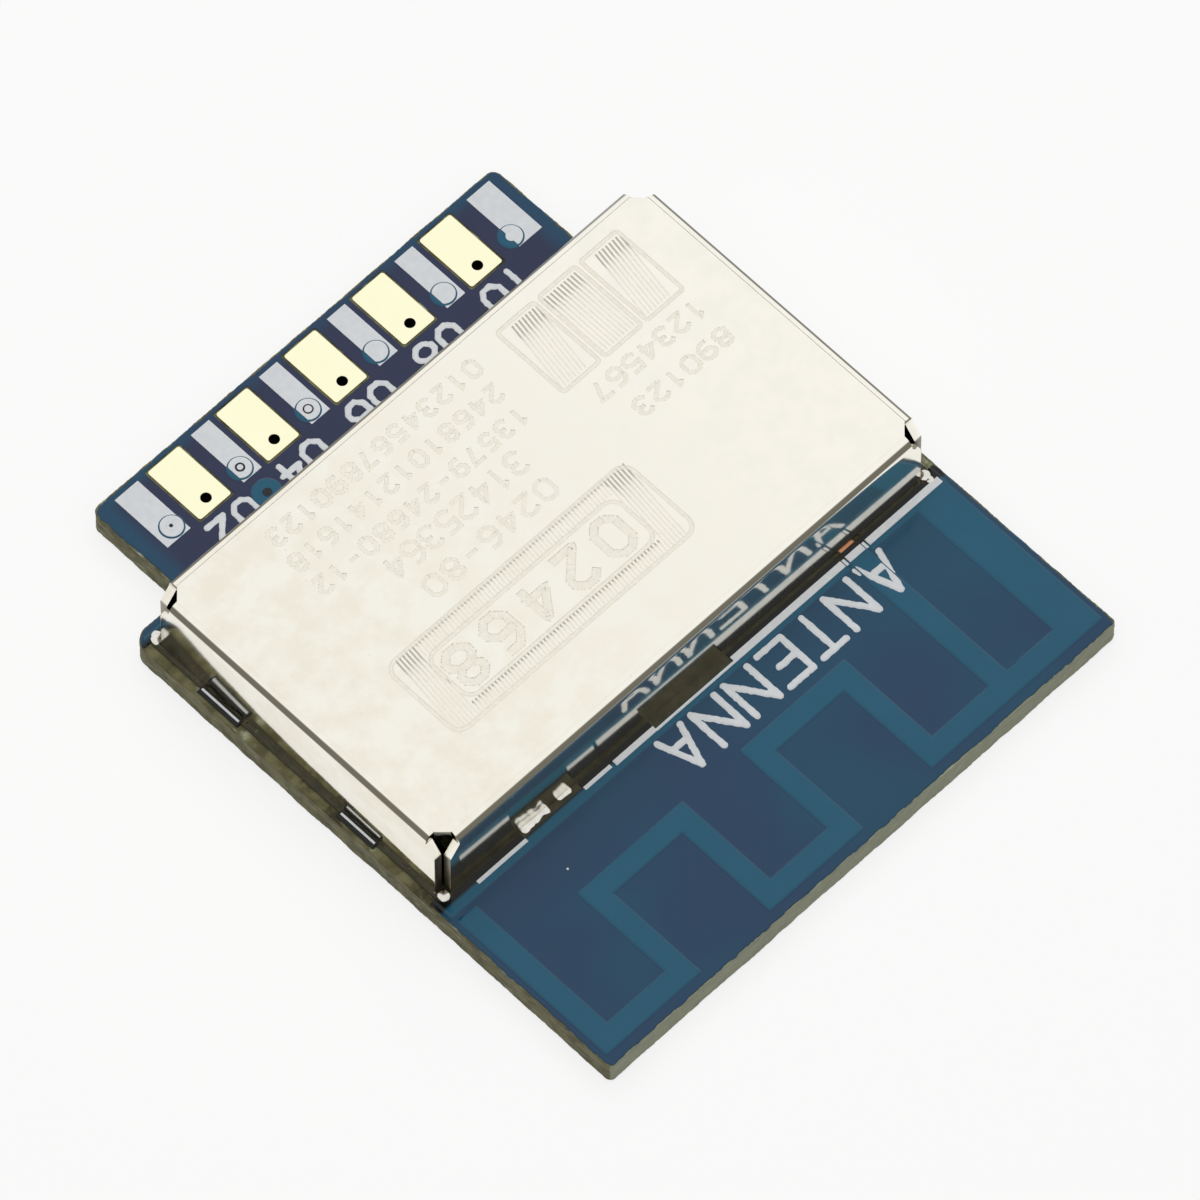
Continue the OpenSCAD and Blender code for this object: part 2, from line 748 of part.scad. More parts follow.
board_core();
ground_copper();
antenna_track();
top_solder_mask();
bottom_solder_mask();
printed_marks();
tented_hole();
shield_can();
front_solder();
side_solder();
corner_solder();
component_lands();
main_chip();
chip_lead_frame();
crystal_case();
crystal_lid();
for (i = [1:FRONT]) contact(front_x(i), 1);
for (i = [1:REAR]) contact(rear_x(i), -1);
for (i = [1:CAPACITORS]) capacitor(i);
for (i = [1:RESISTORS]) resistor(i);
for (i = [1:INDUCTORS]) inductor(i);
capacitor_ends();
resistor_ends();
inductor_ends();
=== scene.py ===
"""Finishes, lights and camera for a small wireless module: a blue lacquered board with a meander
antenna, a folded shield can, gold edge contacts and white printed marks."""
import json
import math

import bmesh
import bpy
import numpy as np
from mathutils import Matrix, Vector


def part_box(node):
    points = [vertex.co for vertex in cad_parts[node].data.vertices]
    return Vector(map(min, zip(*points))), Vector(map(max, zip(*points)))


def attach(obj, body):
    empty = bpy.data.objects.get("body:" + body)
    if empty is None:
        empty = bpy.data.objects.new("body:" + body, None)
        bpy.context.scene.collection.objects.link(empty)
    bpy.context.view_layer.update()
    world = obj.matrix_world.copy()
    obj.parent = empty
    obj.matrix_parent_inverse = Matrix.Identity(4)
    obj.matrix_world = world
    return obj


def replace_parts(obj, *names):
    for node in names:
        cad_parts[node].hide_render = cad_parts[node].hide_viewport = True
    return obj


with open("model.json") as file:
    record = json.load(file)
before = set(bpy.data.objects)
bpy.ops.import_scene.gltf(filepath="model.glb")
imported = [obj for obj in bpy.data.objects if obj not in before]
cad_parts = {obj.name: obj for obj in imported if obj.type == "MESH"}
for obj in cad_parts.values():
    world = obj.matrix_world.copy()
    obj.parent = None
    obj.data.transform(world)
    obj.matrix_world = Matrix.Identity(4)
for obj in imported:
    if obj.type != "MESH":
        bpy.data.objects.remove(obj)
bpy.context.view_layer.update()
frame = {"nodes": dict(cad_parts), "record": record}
NODES = frame["nodes"]
MM = 0.001


# ---- Sizes taken from the frame, in millimetres ----

def box_mm(node):
    """Lowest and highest corner of a CAD node, in millimetres."""
    low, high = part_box(node)
    return np.array(low) / MM, np.array(high) / MM


def node_points(node):
    """Corners of a CAD node's mesh as an N by 3 array, in millimetres."""
    mesh = NODES[node].data
    points = np.empty(len(mesh.vertices) * 3, np.float32)
    mesh.vertices.foreach_get("co", points)
    return points.reshape(-1, 3).astype(float) / MM


def node_triangles(node):
    """Corner numbers of a CAD node's triangles as an N by 3 array."""
    mesh = NODES[node].data
    mesh.calc_loop_triangles()
    corners = np.empty(len(mesh.loop_triangles) * 3, np.int32)
    mesh.loop_triangles.foreach_get("vertices", corners)
    return corners.reshape(-1, 3)


core_low, core_high = box_mm("board_core")
can_low, can_high = box_mm("shield_can")
Z_UNDER = core_low[2]                   # laminate's lower face
Z_TOP = core_high[2]                    # laminate's upper face
Z_LAND = box_mm("antenna_track")[1][2]  # copper foil's upper face
Z_RAISED = box_mm("top_solder_mask")[1][2]      # lacquer over copper
Z_LACQUER = Z_TOP + Z_RAISED - Z_LAND   # lacquer over bare laminate
Z_LID = can_high[2]
X_SIDE = core_high[0]
Y_EDGE = core_low[1]
Y_TIP = core_high[1]
X_CAN = can_high[0]
Y_CAN = [can_low[1], can_high[1]]
MARGIN = 1.0                            # the corners beside the board's ends lie within this
corner_x, corner_y = np.abs(node_points("board_core")[:, 0]), node_points("board_core")[:, 1]
X_TONGUE = corner_x[corner_y > Y_TIP - MARGIN].max()    # half the tongue's width
Y_SHOULDER = corner_y[corner_x > X_SIDE - MARGIN].max()
PITCH = box_mm("front_contact_4")[0][0] - box_mm("front_contact_3")[0][0]


# ---- Materials ----


class Nodes:
    """A node tree; each method adds one node and returns its output socket."""

    def __init__(self, tree):
        self.tree = tree

    def add(self, kind, **inputs):
        made = self.tree.nodes.new(kind)
        for socket, value in inputs.items():
            self.feed(made.inputs[socket.replace("_", " ")], value)
        return made

    def feed(self, socket, value):
        if isinstance(value, bpy.types.NodeSocket):
            self.tree.links.new(value, socket)
        else:
            socket.default_value = value

    def math(self, operation, *values):
        made = self.tree.nodes.new("ShaderNodeMath")
        made.operation = operation
        for socket, value in zip(made.inputs, values):
            self.feed(socket, value)
        return made.outputs[0]

    def step(self, value, low, high):
        """0 below low, 1 above high and smooth between them."""
        made = self.tree.nodes.new("ShaderNodeMapRange")
        made.interpolation_type = "SMOOTHSTEP"
        self.feed(made.inputs["Value"], value)
        made.inputs["From Min"].default_value = low
        made.inputs["From Max"].default_value = high
        return made.outputs["Result"]

    def mix(self, share, a, b):
        """Colour a where share is 0 and colour b where it is 1."""
        made = self.tree.nodes.new("ShaderNodeMix")
        made.data_type = "RGBA"
        self.feed(made.inputs["Factor"], share)
        colours = [socket for socket in made.inputs if socket.type == "RGBA"]
        self.feed(colours[0], a)
        self.feed(colours[1], b)
        return next(socket for socket in made.outputs if socket.type == "RGBA")


class Finish(Nodes):
    """A material whose patterns follow Object coordinates; x, y and z are in millimetres."""

    def __init__(self, name, **sockets):
        self.material = bpy.data.materials.new(name)
        self.material.use_nodes = True
        super().__init__(self.material.node_tree)
        self.shader = self.tree.nodes["Principled BSDF"]
        for socket, value in sockets.items():
            self.shader.inputs[socket.replace("_", " ")].default_value = value
        self.place = self.add("ShaderNodeTexCoord").outputs["Object"]
        split = self.add("ShaderNodeSeparateXYZ", Vector=self.scaled(1 / MM))
        self.x, self.y, self.z = (split.outputs[axis] for axis in "XYZ")

    def scaled(self, factor, stretch=(1, 1, 1)):
        """Object coordinates times a factor, stretched along each axis."""
        made = self.add("ShaderNodeMapping", Vector=self.place)
        made.inputs["Scale"].default_value = [factor * share for share in stretch]
        return made.outputs["Vector"]

    def noise(self, size_mm, stretch=(1, 1, 1), detail=3.0, roughness=0.5):
        """Smooth noise from 0 to 1 whose lumps are size_mm wide."""
        made = self.add("ShaderNodeTexNoise", Vector=self.scaled(1 / (MM * size_mm), stretch),
                        Scale=1.0, Detail=detail, Roughness=roughness)
        return made.outputs["Fac"]

    def bump(self, height, depth_mm, strength=1.0):
        made = self.add("ShaderNodeBump", Height=height, Strength=strength, Distance=depth_mm * MM)
        self.feed(self.shader.inputs["Normal"], made.outputs["Normal"])

    def colour(self, value):
        self.feed(self.shader.inputs["Base Color"], value)

    def rough(self, value):
        self.feed(self.shader.inputs["Roughness"], value)


def rgb(r, g, b):
    """A colour written in linear light."""
    return (r, g, b, 1.0)


def lacquer_finish():
    """Glossy blue lacquer, lighter and greener where copper lies under it, navy on the tongue, near-black
    with painted shade round the can's foot.
    """
    f = Finish("blue_lacquer", Roughness=0.1, Specular_IOR_Level=0.3)
    copper = f.math("MAXIMUM", f.step(f.z, Z_LACQUER + 0.005, Z_RAISED - 0.005),
                    f.step(f.z, 0.03, 0.005))
    drift = f.step(f.noise(4.0, detail=2.0), 0.35, 0.65)
    bare = f.mix(drift, rgb(0.016, 0.060, 0.135), rgb(0.011, 0.078, 0.150))
    along = f.math("MULTIPLY", f.step(f.y, Y_CAN[1] - 0.06, Y_SHOULDER + 0.5),
                   f.step(f.y, Y_TIP - 0.05, Y_TIP - 0.4))
    across = f.step(f.math("ABSOLUTE", f.x), X_TONGUE - 0.175, X_TONGUE - 0.625)
    navy = f.math("MULTIPLY", along, across)
    bare = f.mix(navy, bare, rgb(0.026, 0.036, 0.092))
    shade = f.mix(f.noise(1.2, detail=2.0), rgb(0.009, 0.110, 0.195), rgb(0.015, 0.122, 0.215))
    # painted shade: near-black lacquer round the can's foot, from a band in front of the can to a band
    # behind it
    foot_painted_shade = f.math("MULTIPLY", f.step(f.y, Y_CAN[0] - 0.27, Y_CAN[0] - 0.17),
                       f.step(f.y, Y_CAN[1] + 0.2, Y_CAN[1]))
    f.colour(f.mix(foot_painted_shade, f.mix(copper, bare, shade), rgb(0.004, 0.006, 0.006)))
    f.bump(f.noise(0.9, detail=2.0), 0.006, 0.35)
    return f.material


def laminate_finish():
    """Cut glass-fibre board: olive resin with long pale fibres and brown streaks, paler with painted
    light along the antenna edge."""
    f = Finish("glass_fibre_board", Roughness=0.6, Specular_IOR_Level=0.3)
    streak = f.noise(0.05, (0.06, 0.06, 1.0), detail=4.0, roughness=0.65)
    lump = f.noise(0.35, detail=3.0)
    base = f.mix(f.step(lump, 0.35, 0.65), rgb(0.115, 0.105, 0.045), rgb(0.21, 0.20, 0.10))
    base = f.mix(f.step(streak, 0.56, 0.70), base, rgb(0.45, 0.48, 0.34))
    base = f.mix(f.step(streak, 0.45, 0.32), base, rgb(0.050, 0.042, 0.018))
    # painted light: the board turns paler within 0.05 mm of the antenna edge
    edge_painted_light = f.step(f.y, Y_EDGE + 0.05, Y_EDGE + 0.01)
    base = f.mix(f.math("MULTIPLY", edge_painted_light, 0.6), base, rgb(0.46, 0.50, 0.38))
    f.colour(base)
    f.bump(streak, 0.02, 0.8)
    return f.material


def flux_and_painted_light_finish():
    """Copper that the lacquer leaves bare at the can's foot: dulled by flux and darkened further by
    painted shade, with a few painted glints.
    """
    f = Finish("fluxed_copper_painted_light", Metallic=0.6, Roughness=0.42)
    grain = f.noise(0.07, (1.0, 1.0, 1.0), detail=4.0, roughness=0.7)
    # flux-dulled copper and painted shade of the can's foot: near-black to mid olive
    dull = f.mix(f.noise(0.3), rgb(0.020, 0.018, 0.011), rgb(0.085, 0.078, 0.045))
    # painted glints: bright spots where the grain noise peaks
    f.colour(f.mix(f.step(grain, 0.66, 0.72), dull, rgb(0.55, 0.52, 0.30)))
    f.bump(grain, 0.02, 0.8)
    return f.material


def gold_finish():
    """Pale gold plating, with painted shade inside the plated holes."""
    f = Finish("gold_plating", Metallic=1.0, Roughness=0.28)
    # painted shade: dark brown plating inside the plated holes, below the laminate's upper face
    hole_painted_shade = f.math("MULTIPLY", f.step(f.z, Z_TOP + 0.02, Z_TOP), f.step(f.z, 0.065, 0.09))
    tone = f.mix(f.noise(0.5), rgb(1.0, 0.97, 0.67), rgb(1.0, 0.99, 0.72))
    f.colour(f.mix(hole_painted_shade, tone, rgb(0.16, 0.12, 0.05)))
    f.bump(f.noise(0.12), 0.003, 0.3)
    return f.material


def ink_finish():
    """White print: a chalky film with a cool cast."""
    f = Finish("white_ink", Roughness=0.45, Specular_IOR_Level=0.3)
    f.colour(f.mix(f.noise(0.18, detail=4.0), rgb(0.76, 0.79, 0.85), rgb(0.92, 0.95, 0.97)))
    f.bump(f.noise(0.06), 0.006, 0.5)
    return f.material


def sheet_finish():
    """Plated steel sheet of the can: a warm satin mirror with faint mottling and small pits, a painted
    light gradient from left to right, a painted dark reflection along the bends, and dull where the
    corners were sheared."""
    f = Finish("plated_sheet", Metallic=1.0, Roughness=0.1)
    mottle = f.noise(0.7, detail=5.0, roughness=0.6)
    # painted light: the sheet's tone grows lighter from the can's left side to its right
    warm = f.mix(f.step(f.x, -X_CAN, X_CAN), rgb(0.850, 0.810, 0.695), rgb(0.935, 0.905, 0.815))
    tone = f.mix(f.step(mottle, 0.35, 0.65), warm, rgb(0.900, 0.875, 0.790))
    pit = f.step(f.noise(0.10, detail=2.0), 0.74, 0.78)
    tone = f.mix(f.math("MULTIPLY", pit, 0.35), tone, rgb(0.45, 0.42, 0.34))
    middle = (Y_CAN[0] + Y_CAN[1]) / 2
    half = (Y_CAN[1] - Y_CAN[0]) / 2
    across = f.step(f.math("ABSOLUTE", f.x), X_CAN - 0.26, X_CAN - 0.22)
    along = f.step(f.math("ABSOLUTE", f.math("SUBTRACT", f.y, middle)), half - 0.26, half - 0.22)
    sheared = f.math("MULTIPLY", across, along)
    # painted reflection: a dark brown band at the top of the walls, where the bends turn to the lid
    bend_painted_reflection = f.math("MULTIPLY", f.step(f.z, Z_LID - 0.03, Z_LID - 0.05),
                  f.step(f.z, Z_LID - 0.16, Z_LID - 0.13))
    tone = f.mix(bend_painted_reflection, tone, rgb(0.16, 0.15, 0.115))
    f.colour(f.mix(sheared, tone, rgb(0.16, 0.135, 0.085)))
    f.rough(f.math("MULTIPLY_ADD", sheared, 0.3, f.math("MULTIPLY_ADD", mottle, 0.08, 0.06)))
    f.bump(f.noise(0.5, detail=3.0), 0.003, 0.3)
    return f.material


def solder_finish():
    """Bright solder with a fine grain."""
    f = Finish("solder", Metallic=1.0, Roughness=0.22)
    f.colour(f.mix(f.noise(0.15), rgb(0.62, 0.60, 0.54), rgb(0.86, 0.85, 0.80)))
    f.bump(f.noise(0.08), 0.01, 0.6)
    return f.material


def plain_finish(name, dark, light, size_mm, **sockets):
    """A fine-grained finish between two tones, for the pieces under the can."""
    f = Finish(name, **sockets)
    f.colour(f.mix(f.noise(size_mm), rgb(*dark), rgb(*light)))
    f.bump(f.noise(size_mm / 2), size_mm / 60, 0.4)
    return f.material


def engraving_finish():
    """Lines burnt into the can's lid: the same sheet, rougher and a little darker."""
    f = Finish("engraved_sheet", Metallic=1.0, Roughness=0.24)
    f.colour(f.mix(f.noise(0.08), rgb(0.76, 0.72, 0.60), rgb(0.93, 0.90, 0.81)))
    f.bump(f.noise(0.05), 0.003, 0.4)
    return f.material


def dark_finish():
    """Shadowed hole mouths and burnt specks."""
    f = Finish("dark_pit", Roughness=0.5, Specular_IOR_Level=0.2)
    f.colour(f.mix(f.noise(0.05), rgb(0.010, 0.014, 0.020), rgb(0.050, 0.055, 0.060)))
    return f.material


FINISHES = {
    "solder_mask": lacquer_finish(),
    "laminate": laminate_finish(),
    "gold_plating": gold_finish(),
    "white_ink": ink_finish(),
    "can_sheet": sheet_finish(),
    "solder": solder_finish(),
    "copper": plain_finish("copper_foil", (0.55, 0.24, 0.12), (0.68, 0.34, 0.18), 0.3,
                           Metallic=1.0, Roughness=0.35),
    "chip_resin": plain_finish("moulded_resin", (0.012, 0.012, 0.013), (0.022, 0.022, 0.024), 0.1,
                               Roughness=0.55),
    "crystal_ceramic": plain_finish("crystal_ceramic", (0.42, 0.36, 0.27), (0.52, 0.46, 0.35), 0.2,
                                    Roughness=0.5),
    "capacitor_ceramic": plain_finish("brown_ceramic", (0.30, 0.18, 0.10), (0.38, 0.24, 0.14), 0.1,
                                      Roughness=0.4),
    "inductor_ceramic": plain_finish("grey_ceramic", (0.24, 0.31, 0.29), (0.31, 0.38, 0.36), 0.1,
                                     Roughness=0.4),
}


FLUX_AND_PAINTED_LIGHT = flux_and_painted_light_finish()
ENGRAVED = engraving_finish()
DARK = dark_finish()


def dress(piece, material):
    piece.data.materials.clear()
    piece.data.materials.append(material)


for part in frame["record"]["subparts"]:
    dress(NODES[part["node"]], FINISHES[part["material_slot"]])
dress(NODES["ground_copper"], FLUX_AND_PAINTED_LIGHT)


# ---- Mesh tools ----

def make_piece(name, points_mm, faces, slot, smooth=True, finish=None):
    """A closed mesh from points in millimetres and an array of quads, riding on the board."""
    points, faces = np.asarray(points_mm, float), np.asarray(faces)
    mesh = bpy.data.meshes.new(name)
    mesh.from_pydata((points * MM).tolist(), [], faces.tolist())
    mesh.polygons.foreach_set("use_smooth", [smooth] * len(mesh.polygons))
    mesh.update()
    piece = bpy.data.objects.new(name, mesh)
    bpy.context.scene.collection.objects.link(piece)
    dress(piece, finish or FINISHES[slot])
    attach(piece, "root")
    return piece


def merged_copy(name, node, slot):
    """A copy of a CAD node with its triangles merged and its flat faces joined, standing for it."""
    mesh = NODES[node].data.copy()
    mesh.name = name
    work = bmesh.new()
    work.from_mesh(mesh)
    bmesh.ops.remove_doubles(work, verts=work.verts, dist=0.0002 * MM)
    bmesh.ops.dissolve_limit(work, angle_limit=math.radians(0.5), verts=work.verts, edges=work.edges)
    work.to_mesh(mesh)
    work.free()
    piece = bpy.data.objects.new(name, mesh)
    bpy.context.scene.collection.objects.link(piece)
    dress(piece, FINISHES[slot])
    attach(piece, "root")
    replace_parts(piece, node)
    return piece


def soft_edges(piece, width_mm, segments, sharper_than):
    """Rounds the edges of a piece that are sharper than an angle in degrees, and shades it smooth."""
    piece.data.polygons.foreach_set("use_smooth", [True] * len(piece.data.polygons))
    bevel = piece.modifiers.new("soft_edges", "BEVEL")
    bevel.width = width_mm * MM
    bevel.segments = segments
    bevel.limit_method = "ANGLE"
    bevel.angle_limit = math.radians(sharper_than)
    bevel.harden_normals = True


def join_shells(shells):
    """Several (points, faces) shells as one."""
    count = np.cumsum([0] + [len(points) for points, _ in shells[:-1]])
    return (np.concatenate([points for points, _ in shells]),
            np.concatenate([faces + start for (_, faces), start in zip(shells, count)]))


def outwards(points, faces):
    """The same quads, turned over if the volume that they enclose comes out negative."""
    a, b, c, d = (points[faces[:, k]] - points[0] for k in range(4))
    volume = (np.cross(a, b) * c + np.cross(a, c) * d).sum()
    return faces[:, ::-1] if volume < 0 else faces


def grid_shell(points, closed=False):
    """Quads between the rows of an M by N by 3 array whose rows are closed sections. Open ends are
    capped by quads that pair the section's points from both sides; a closed row of rows has none."""
    rows, n = points.shape[:2]
    number = np.arange(rows * n).reshape(rows, n)
    after = np.roll(number, -1, axis=0) if closed else number[1:]
    here = number if closed else number[:-1]
    quads = np.stack([here, np.roll(here, -1, 1), np.roll(after, -1, 1), after], -1).reshape(-1, 4)
    if not closed:
        k = np.arange(n // 2 - 1)
        cap = np.stack([k, k + 1, n - 2 - k, n - 1 - k], -1)
        quads = np.concatenate([quads, cap[:, ::-1], cap + (rows - 1) * n])
    points = points.reshape(-1, 3)
    return points, outwards(points, quads)


def carried(path, offsets, heights, closed=False):
    """A section carried along a flat path: each of its points keeps its offset to the left of the
    path and its height, and the corners are mitred."""
    path = np.asarray(path, float)
    way = np.diff(np.vstack([path, path[:1]]) if closed else path, axis=0)
    way /= np.linalg.norm(way, axis=1)[:, None]
    left = np.stack([-way[:, 1], way[:, 0]], 1)
    before = np.roll(left, 1, axis=0) if closed else np.vstack([left[:1], left])
    after = left if closed else np.vstack([left, left[-1:]])
    mitre = before + after
    mitre /= np.maximum((mitre * before).sum(1), 0.6)[:, None]
    flat = path[:, None] + mitre[:, None] * np.asarray(offsets)[None, :, None]
    rise = np.broadcast_to(heights, (len(path), len(offsets)))[..., None]
    return grid_shell(np.concatenate([flat, rise], -1), closed)


def value_noise(x, y, size, seed):
    """Smooth noise from -1 to 1: random values on a square lattice of that size, blended."""
    table = np.random.default_rng(seed).uniform(-1, 1, (64, 64))
    u, v = x / size, y / size
    i, j = np.floor(u).astype(int), np.floor(v).astype(int)
    fu, fv = u - i, v - j
    fu, fv = fu * fu * (3 - 2 * fu), fv * fv * (3 - 2 * fv)
    i, j = i % 64, j % 64
    i1, j1 = (i + 1) % 64, (j + 1) % 64
    return ((table[i, j] * (1 - fu) + table[i1, j] * fu) * (1 - fv)
            + (table[i, j1] * (1 - fu) + table[i1, j1] * fu) * fv)


def grid_part(x, y, low, high):
    """The slices of a grid that lie between two corners."""
    i0, i1 = np.searchsorted(x[0], [low[0], high[0]])
    j0, j1 = np.searchsorted(y[:, 0], [low[1], high[1]])
    return slice(j0, j1), slice(i0, i1)


def lacquer_level(x, y):
    """0, 1 or 2 at each point of a grid: no lacquer, lacquer on bare laminate, lacquer on copper.
    Every upper triangle of the lacquer's mesh is filled over its own part of the grid."""
    corners = node_points("top_solder_mask")[node_triangles("top_solder_mask")]
    level = np.zeros(x.shape, int)
    for z, value in ((Z_LACQUER, 1), (Z_RAISED, 2)):
        flat = corners[np.all(np.abs(corners[:, :, 2] - z) < 0.002, axis=1)][:, :, :2]
        for a, b, c in flat:
            part = grid_part(x, y, np.minimum(np.minimum(a, b), c), np.maximum(np.maximum(a, b), c))
            side = np.array([(q[0] - p[0]) * (y[part] - p[1]) - (q[1] - p[1]) * (x[part] - p[0])
                             for p, q in ((a, b), (b, c), (c, a))])
            level[part][np.all(side >= 0, axis=0) | np.all(side <= 0, axis=0)] = value
    return level


def lacquer_top(x, y):
    """Height of the lacquer at each point of a grid."""
    return np.where(lacquer_level(x, y) == 2, Z_RAISED, Z_LACQUER)


def stroke_distance(x, y, strokes, reach):
    """Distance from each point of a grid to the nearest straight stroke (x0, y0, x1, y1), or reach
    where that is less; each stroke is looked at on its own part of the grid."""
    best = np.full(x.shape, float(reach))
    for x0, y0, x1, y1 in strokes:
        part = grid_part(x, y, (min(x0, x1) - reach, min(y0, y1) - reach),
                         (max(x0, x1) + reach, max(y0, y1) + reach))
        dx, dy = x1 - x0, y1 - y0
        px, py = x[part] - x0, y[part] - y0
        t = np.clip((px * dx + py * dy) / max(dx * dx + dy * dy, 1e-12), 0, 1)
        best[part] = np.minimum(best[part], np.hypot(px - t * dx, py - t * dy))
    return best


def height_film(name, x, y, top, bottom, keep, slot):
    """A closed shell between two height fields, over the grid squares whose corners are all kept."""
    square = keep[:-1, :-1] & keep[1:, :-1] & keep[:-1, 1:] & keep[1:, 1:]
    # squares that meet at one corner only are joined by the two beside them
    a, b, c, d = square[:-1, :-1], square[:-1, 1:], square[1:, :-1], square[1:, 1:]
    pinch = (a == d) & (b == c) & (a != b)
    for j, i in np.argwhere(pinch):
        square[j:j + 2, i:i + 2] = True
    rows, cols = x.shape
    number = np.arange(rows * cols).reshape(rows, cols)
    quads = np.stack([number[:-1, :-1], number[:-1, 1:], number[1:, 1:], number[1:, :-1]], -1)[square]
    lower = quads[:, ::-1] + rows * cols
    # an edge that only one kept square uses gets a wall down to the lower face
    edges = quads[:, [[0, 1], [1, 2], [2, 3], [3, 0]]].reshape(-1, 2)
    key = np.sort(edges, axis=1) @ [rows * cols, 1]
    _, first, count = np.unique(key, return_index=True, return_counts=True)
    rim = edges[first[count == 1]]
    walls = np.stack([rim[:, 1], rim[:, 0], rim[:, 0] + rows * cols, rim[:, 1] + rows * cols], -1)
    faces = np.concatenate([quads, lower, walls])
    points = np.concatenate([np.stack([x, y, top], -1).reshape(-1, 3),
                             np.stack([x, y, bottom], -1).reshape(-1, 3)])
    used, faces = np.unique(faces, return_inverse=True)
    make_piece(name, points[used], faces.reshape(-1, 4), slot)


def ink_film(name, strokes, half_width, seed):
    """White print along strokes: a height field on a square grid, highest along each stroke and
    falling smoothly through the lacquer at a slightly ragged half_width, closed by a lower copy."""
    step, sink, ragged = 0.02, 0.012, 0.012
    strokes = np.asarray(strokes, float)
    reach = half_width + 3 * step
    xs = np.arange(min(strokes[:, 0].min(), strokes[:, 2].min()) - reach,
                   max(strokes[:, 0].max(), strokes[:, 2].max()) + reach + step, step)
    ys = np.arange(min(strokes[:, 1].min(), strokes[:, 3].min()) - reach,
                   max(strokes[:, 1].max(), strokes[:, 3].max()) + reach + step, step)
    x, y = np.meshgrid(xs, ys)
    away = stroke_distance(x, y, strokes, reach) + ragged * value_noise(x, y, 0.07, seed)
    rise = np.clip((half_width - away) / (1.5 * step), -1, 1)
    base = lacquer_top(x, y)
    top = base + np.where(rise > 0, INK_THICK * np.sin(rise * math.pi / 2), rise * sink)
    height_film(name, x, y, top, base - 1.25 * sink, away < half_width + 1.5 * step, "white_ink")


# ---- White print ----

INK_THICK = 0.02
WORD_STROKE = 0.15
WORD_Y = Y_EDGE + 3.70                  # tops of the letters
WORD_HEIGHT = 1.0
WORD_START = 5.14
WORD_PITCH = 0.98
WORD_WIDTH = 0.68
LABEL_STROKE = 0.13
LABEL_Y = Y_EDGE + 14.28                # tops of the numbers
LABEL_HEIGHT = 0.72
LABEL_START = 0.62                      # from the middle of its contact
LABEL_PITCH = 0.66
LABEL_WIDTH = 0.46

# corners of a plain drawing-office alphabet on a field 4 wide and 6 high
GLYPHS = {
    "A": [[(0, 0), (2, 6), (4, 0)], [(0.7, 2), (3.3, 2)]],
    "N": [[(0, 0), (0, 6), (4, 0), (4, 6)]],
    "T": [[(0, 6), (4, 6)], [(2, 6), (2, 0)]],
    "E": [[(4, 6), (0, 6), (0, 0), (4, 0)], [(0, 3), (3, 3)]],
    "0": [[(1.2, 0), (2.8, 0), (4, 1.2), (4, 4.8), (2.8, 6), (1.2, 6), (0, 4.8), (0, 1.2), (1.2, 0)]],
    "1": [[(1, 4.8), (2.4, 6), (2.4, 0)]],
    "2": [[(0, 4.9), (1.2, 6), (2.8, 6), (4, 4.9), (4, 3.9), (0, 0), (4, 0)]],
    "3": [[(0.2, 5.2), (1.2, 6), (2.8, 6), (3.8, 5), (3.8, 4.1), (2.8, 3.2), (1.6, 3.2)],
          [(2.8, 3.2), (4, 2.2), (4, 1.1), (2.8, 0), (1.2, 0), (0, 1)]],
    "4": [[(3, 0), (3, 6), (0, 2), (4, 2)]],
    "5": [[(3.8, 6), (0.4, 6), (0.2, 3.4), (2.6, 3.6), (4, 2.5), (4, 1.1), (2.8, 0), (1.2, 0), (0, 0.9)]],
    "6": [[(3.6, 6), (1.4, 6), (0, 4.4), (0, 1.2), (1.2, 0), (2.8, 0), (4, 1.2), (4, 2.2),
           (2.8, 3.4), (0, 3.2)]],
    "7": [[(0, 6), (4, 6), (1.6, 0)]],
    "8": [[(1.2, 3.2), (0.2, 4.2), (0.2, 5), (1.2, 6), (2.8, 6), (3.8, 5), (3.8, 4.2), (2.8, 3.2),
           (1.2, 3.2), (0, 2.1), (0, 1.1), (1.2, 0), (2.8, 0), (4, 1.1), (4, 2.1), (2.8, 3.2)]],
    "9": [[(0.4, 0), (2.6, 0), (4, 1.6), (4, 4.8), (2.8, 6), (1.2, 6), (0, 4.8), (0, 3.8),
           (1.2, 2.6), (4, 2.8)]],
    "-": [[(0.4, 3), (3.6, 3)]],
}


def glyph_paths(glyph, x, y, width, height):
    """Paths of one glyph, turned half round: its top left is at (x, y), it reads towards -X and its
    top points to -Y."""
    return [[(x - width * u / 4, y + height * (1 - v / 6)) for u, v in line] for line in GLYPHS[glyph]]


def glyph_strokes(glyph, x, y, width, height):
    """The straight strokes (x0, y0, x1, y1) of those paths."""
    return [(*p, *q) for path in glyph_paths(glyph, x, y, width, height)
            for p, q in zip(path, path[1:])]


def antenna_word():
    """The word beside the antenna."""
    strokes = [stroke for i, glyph in enumerate("ANTENNA")
               for stroke in glyph_strokes(glyph, WORD_START - WORD_PITCH * i, WORD_Y, WORD_WIDTH,
                                           WORD_HEIGHT)]
    ink_film("antenna_word", strokes, WORD_STROKE / 2, seed=1)


def contact_numbers():
    """A plain two-digit number beside each front contact."""
    strokes = [stroke for i, text in enumerate(["02", "04", "06", "08", "10"])
               for k, glyph in enumerate(text)
               for stroke in glyph_strokes(glyph, (i - 2) * PITCH + LABEL_START - LABEL_PITCH * k,
                                           LABEL_Y, LABEL_WIDTH, LABEL_HEIGHT)]
    ink_film("contact_numbers", strokes, LABEL_STROKE / 2, seed=2)


# ---- Shield can and the engraving on its lid ----

def can_shell():
    """The folded can with its edges slightly rounded."""
    soft_edges(merged_copy("can_shell", "shield_can", "can_sheet"), 0.007, 2, 35)


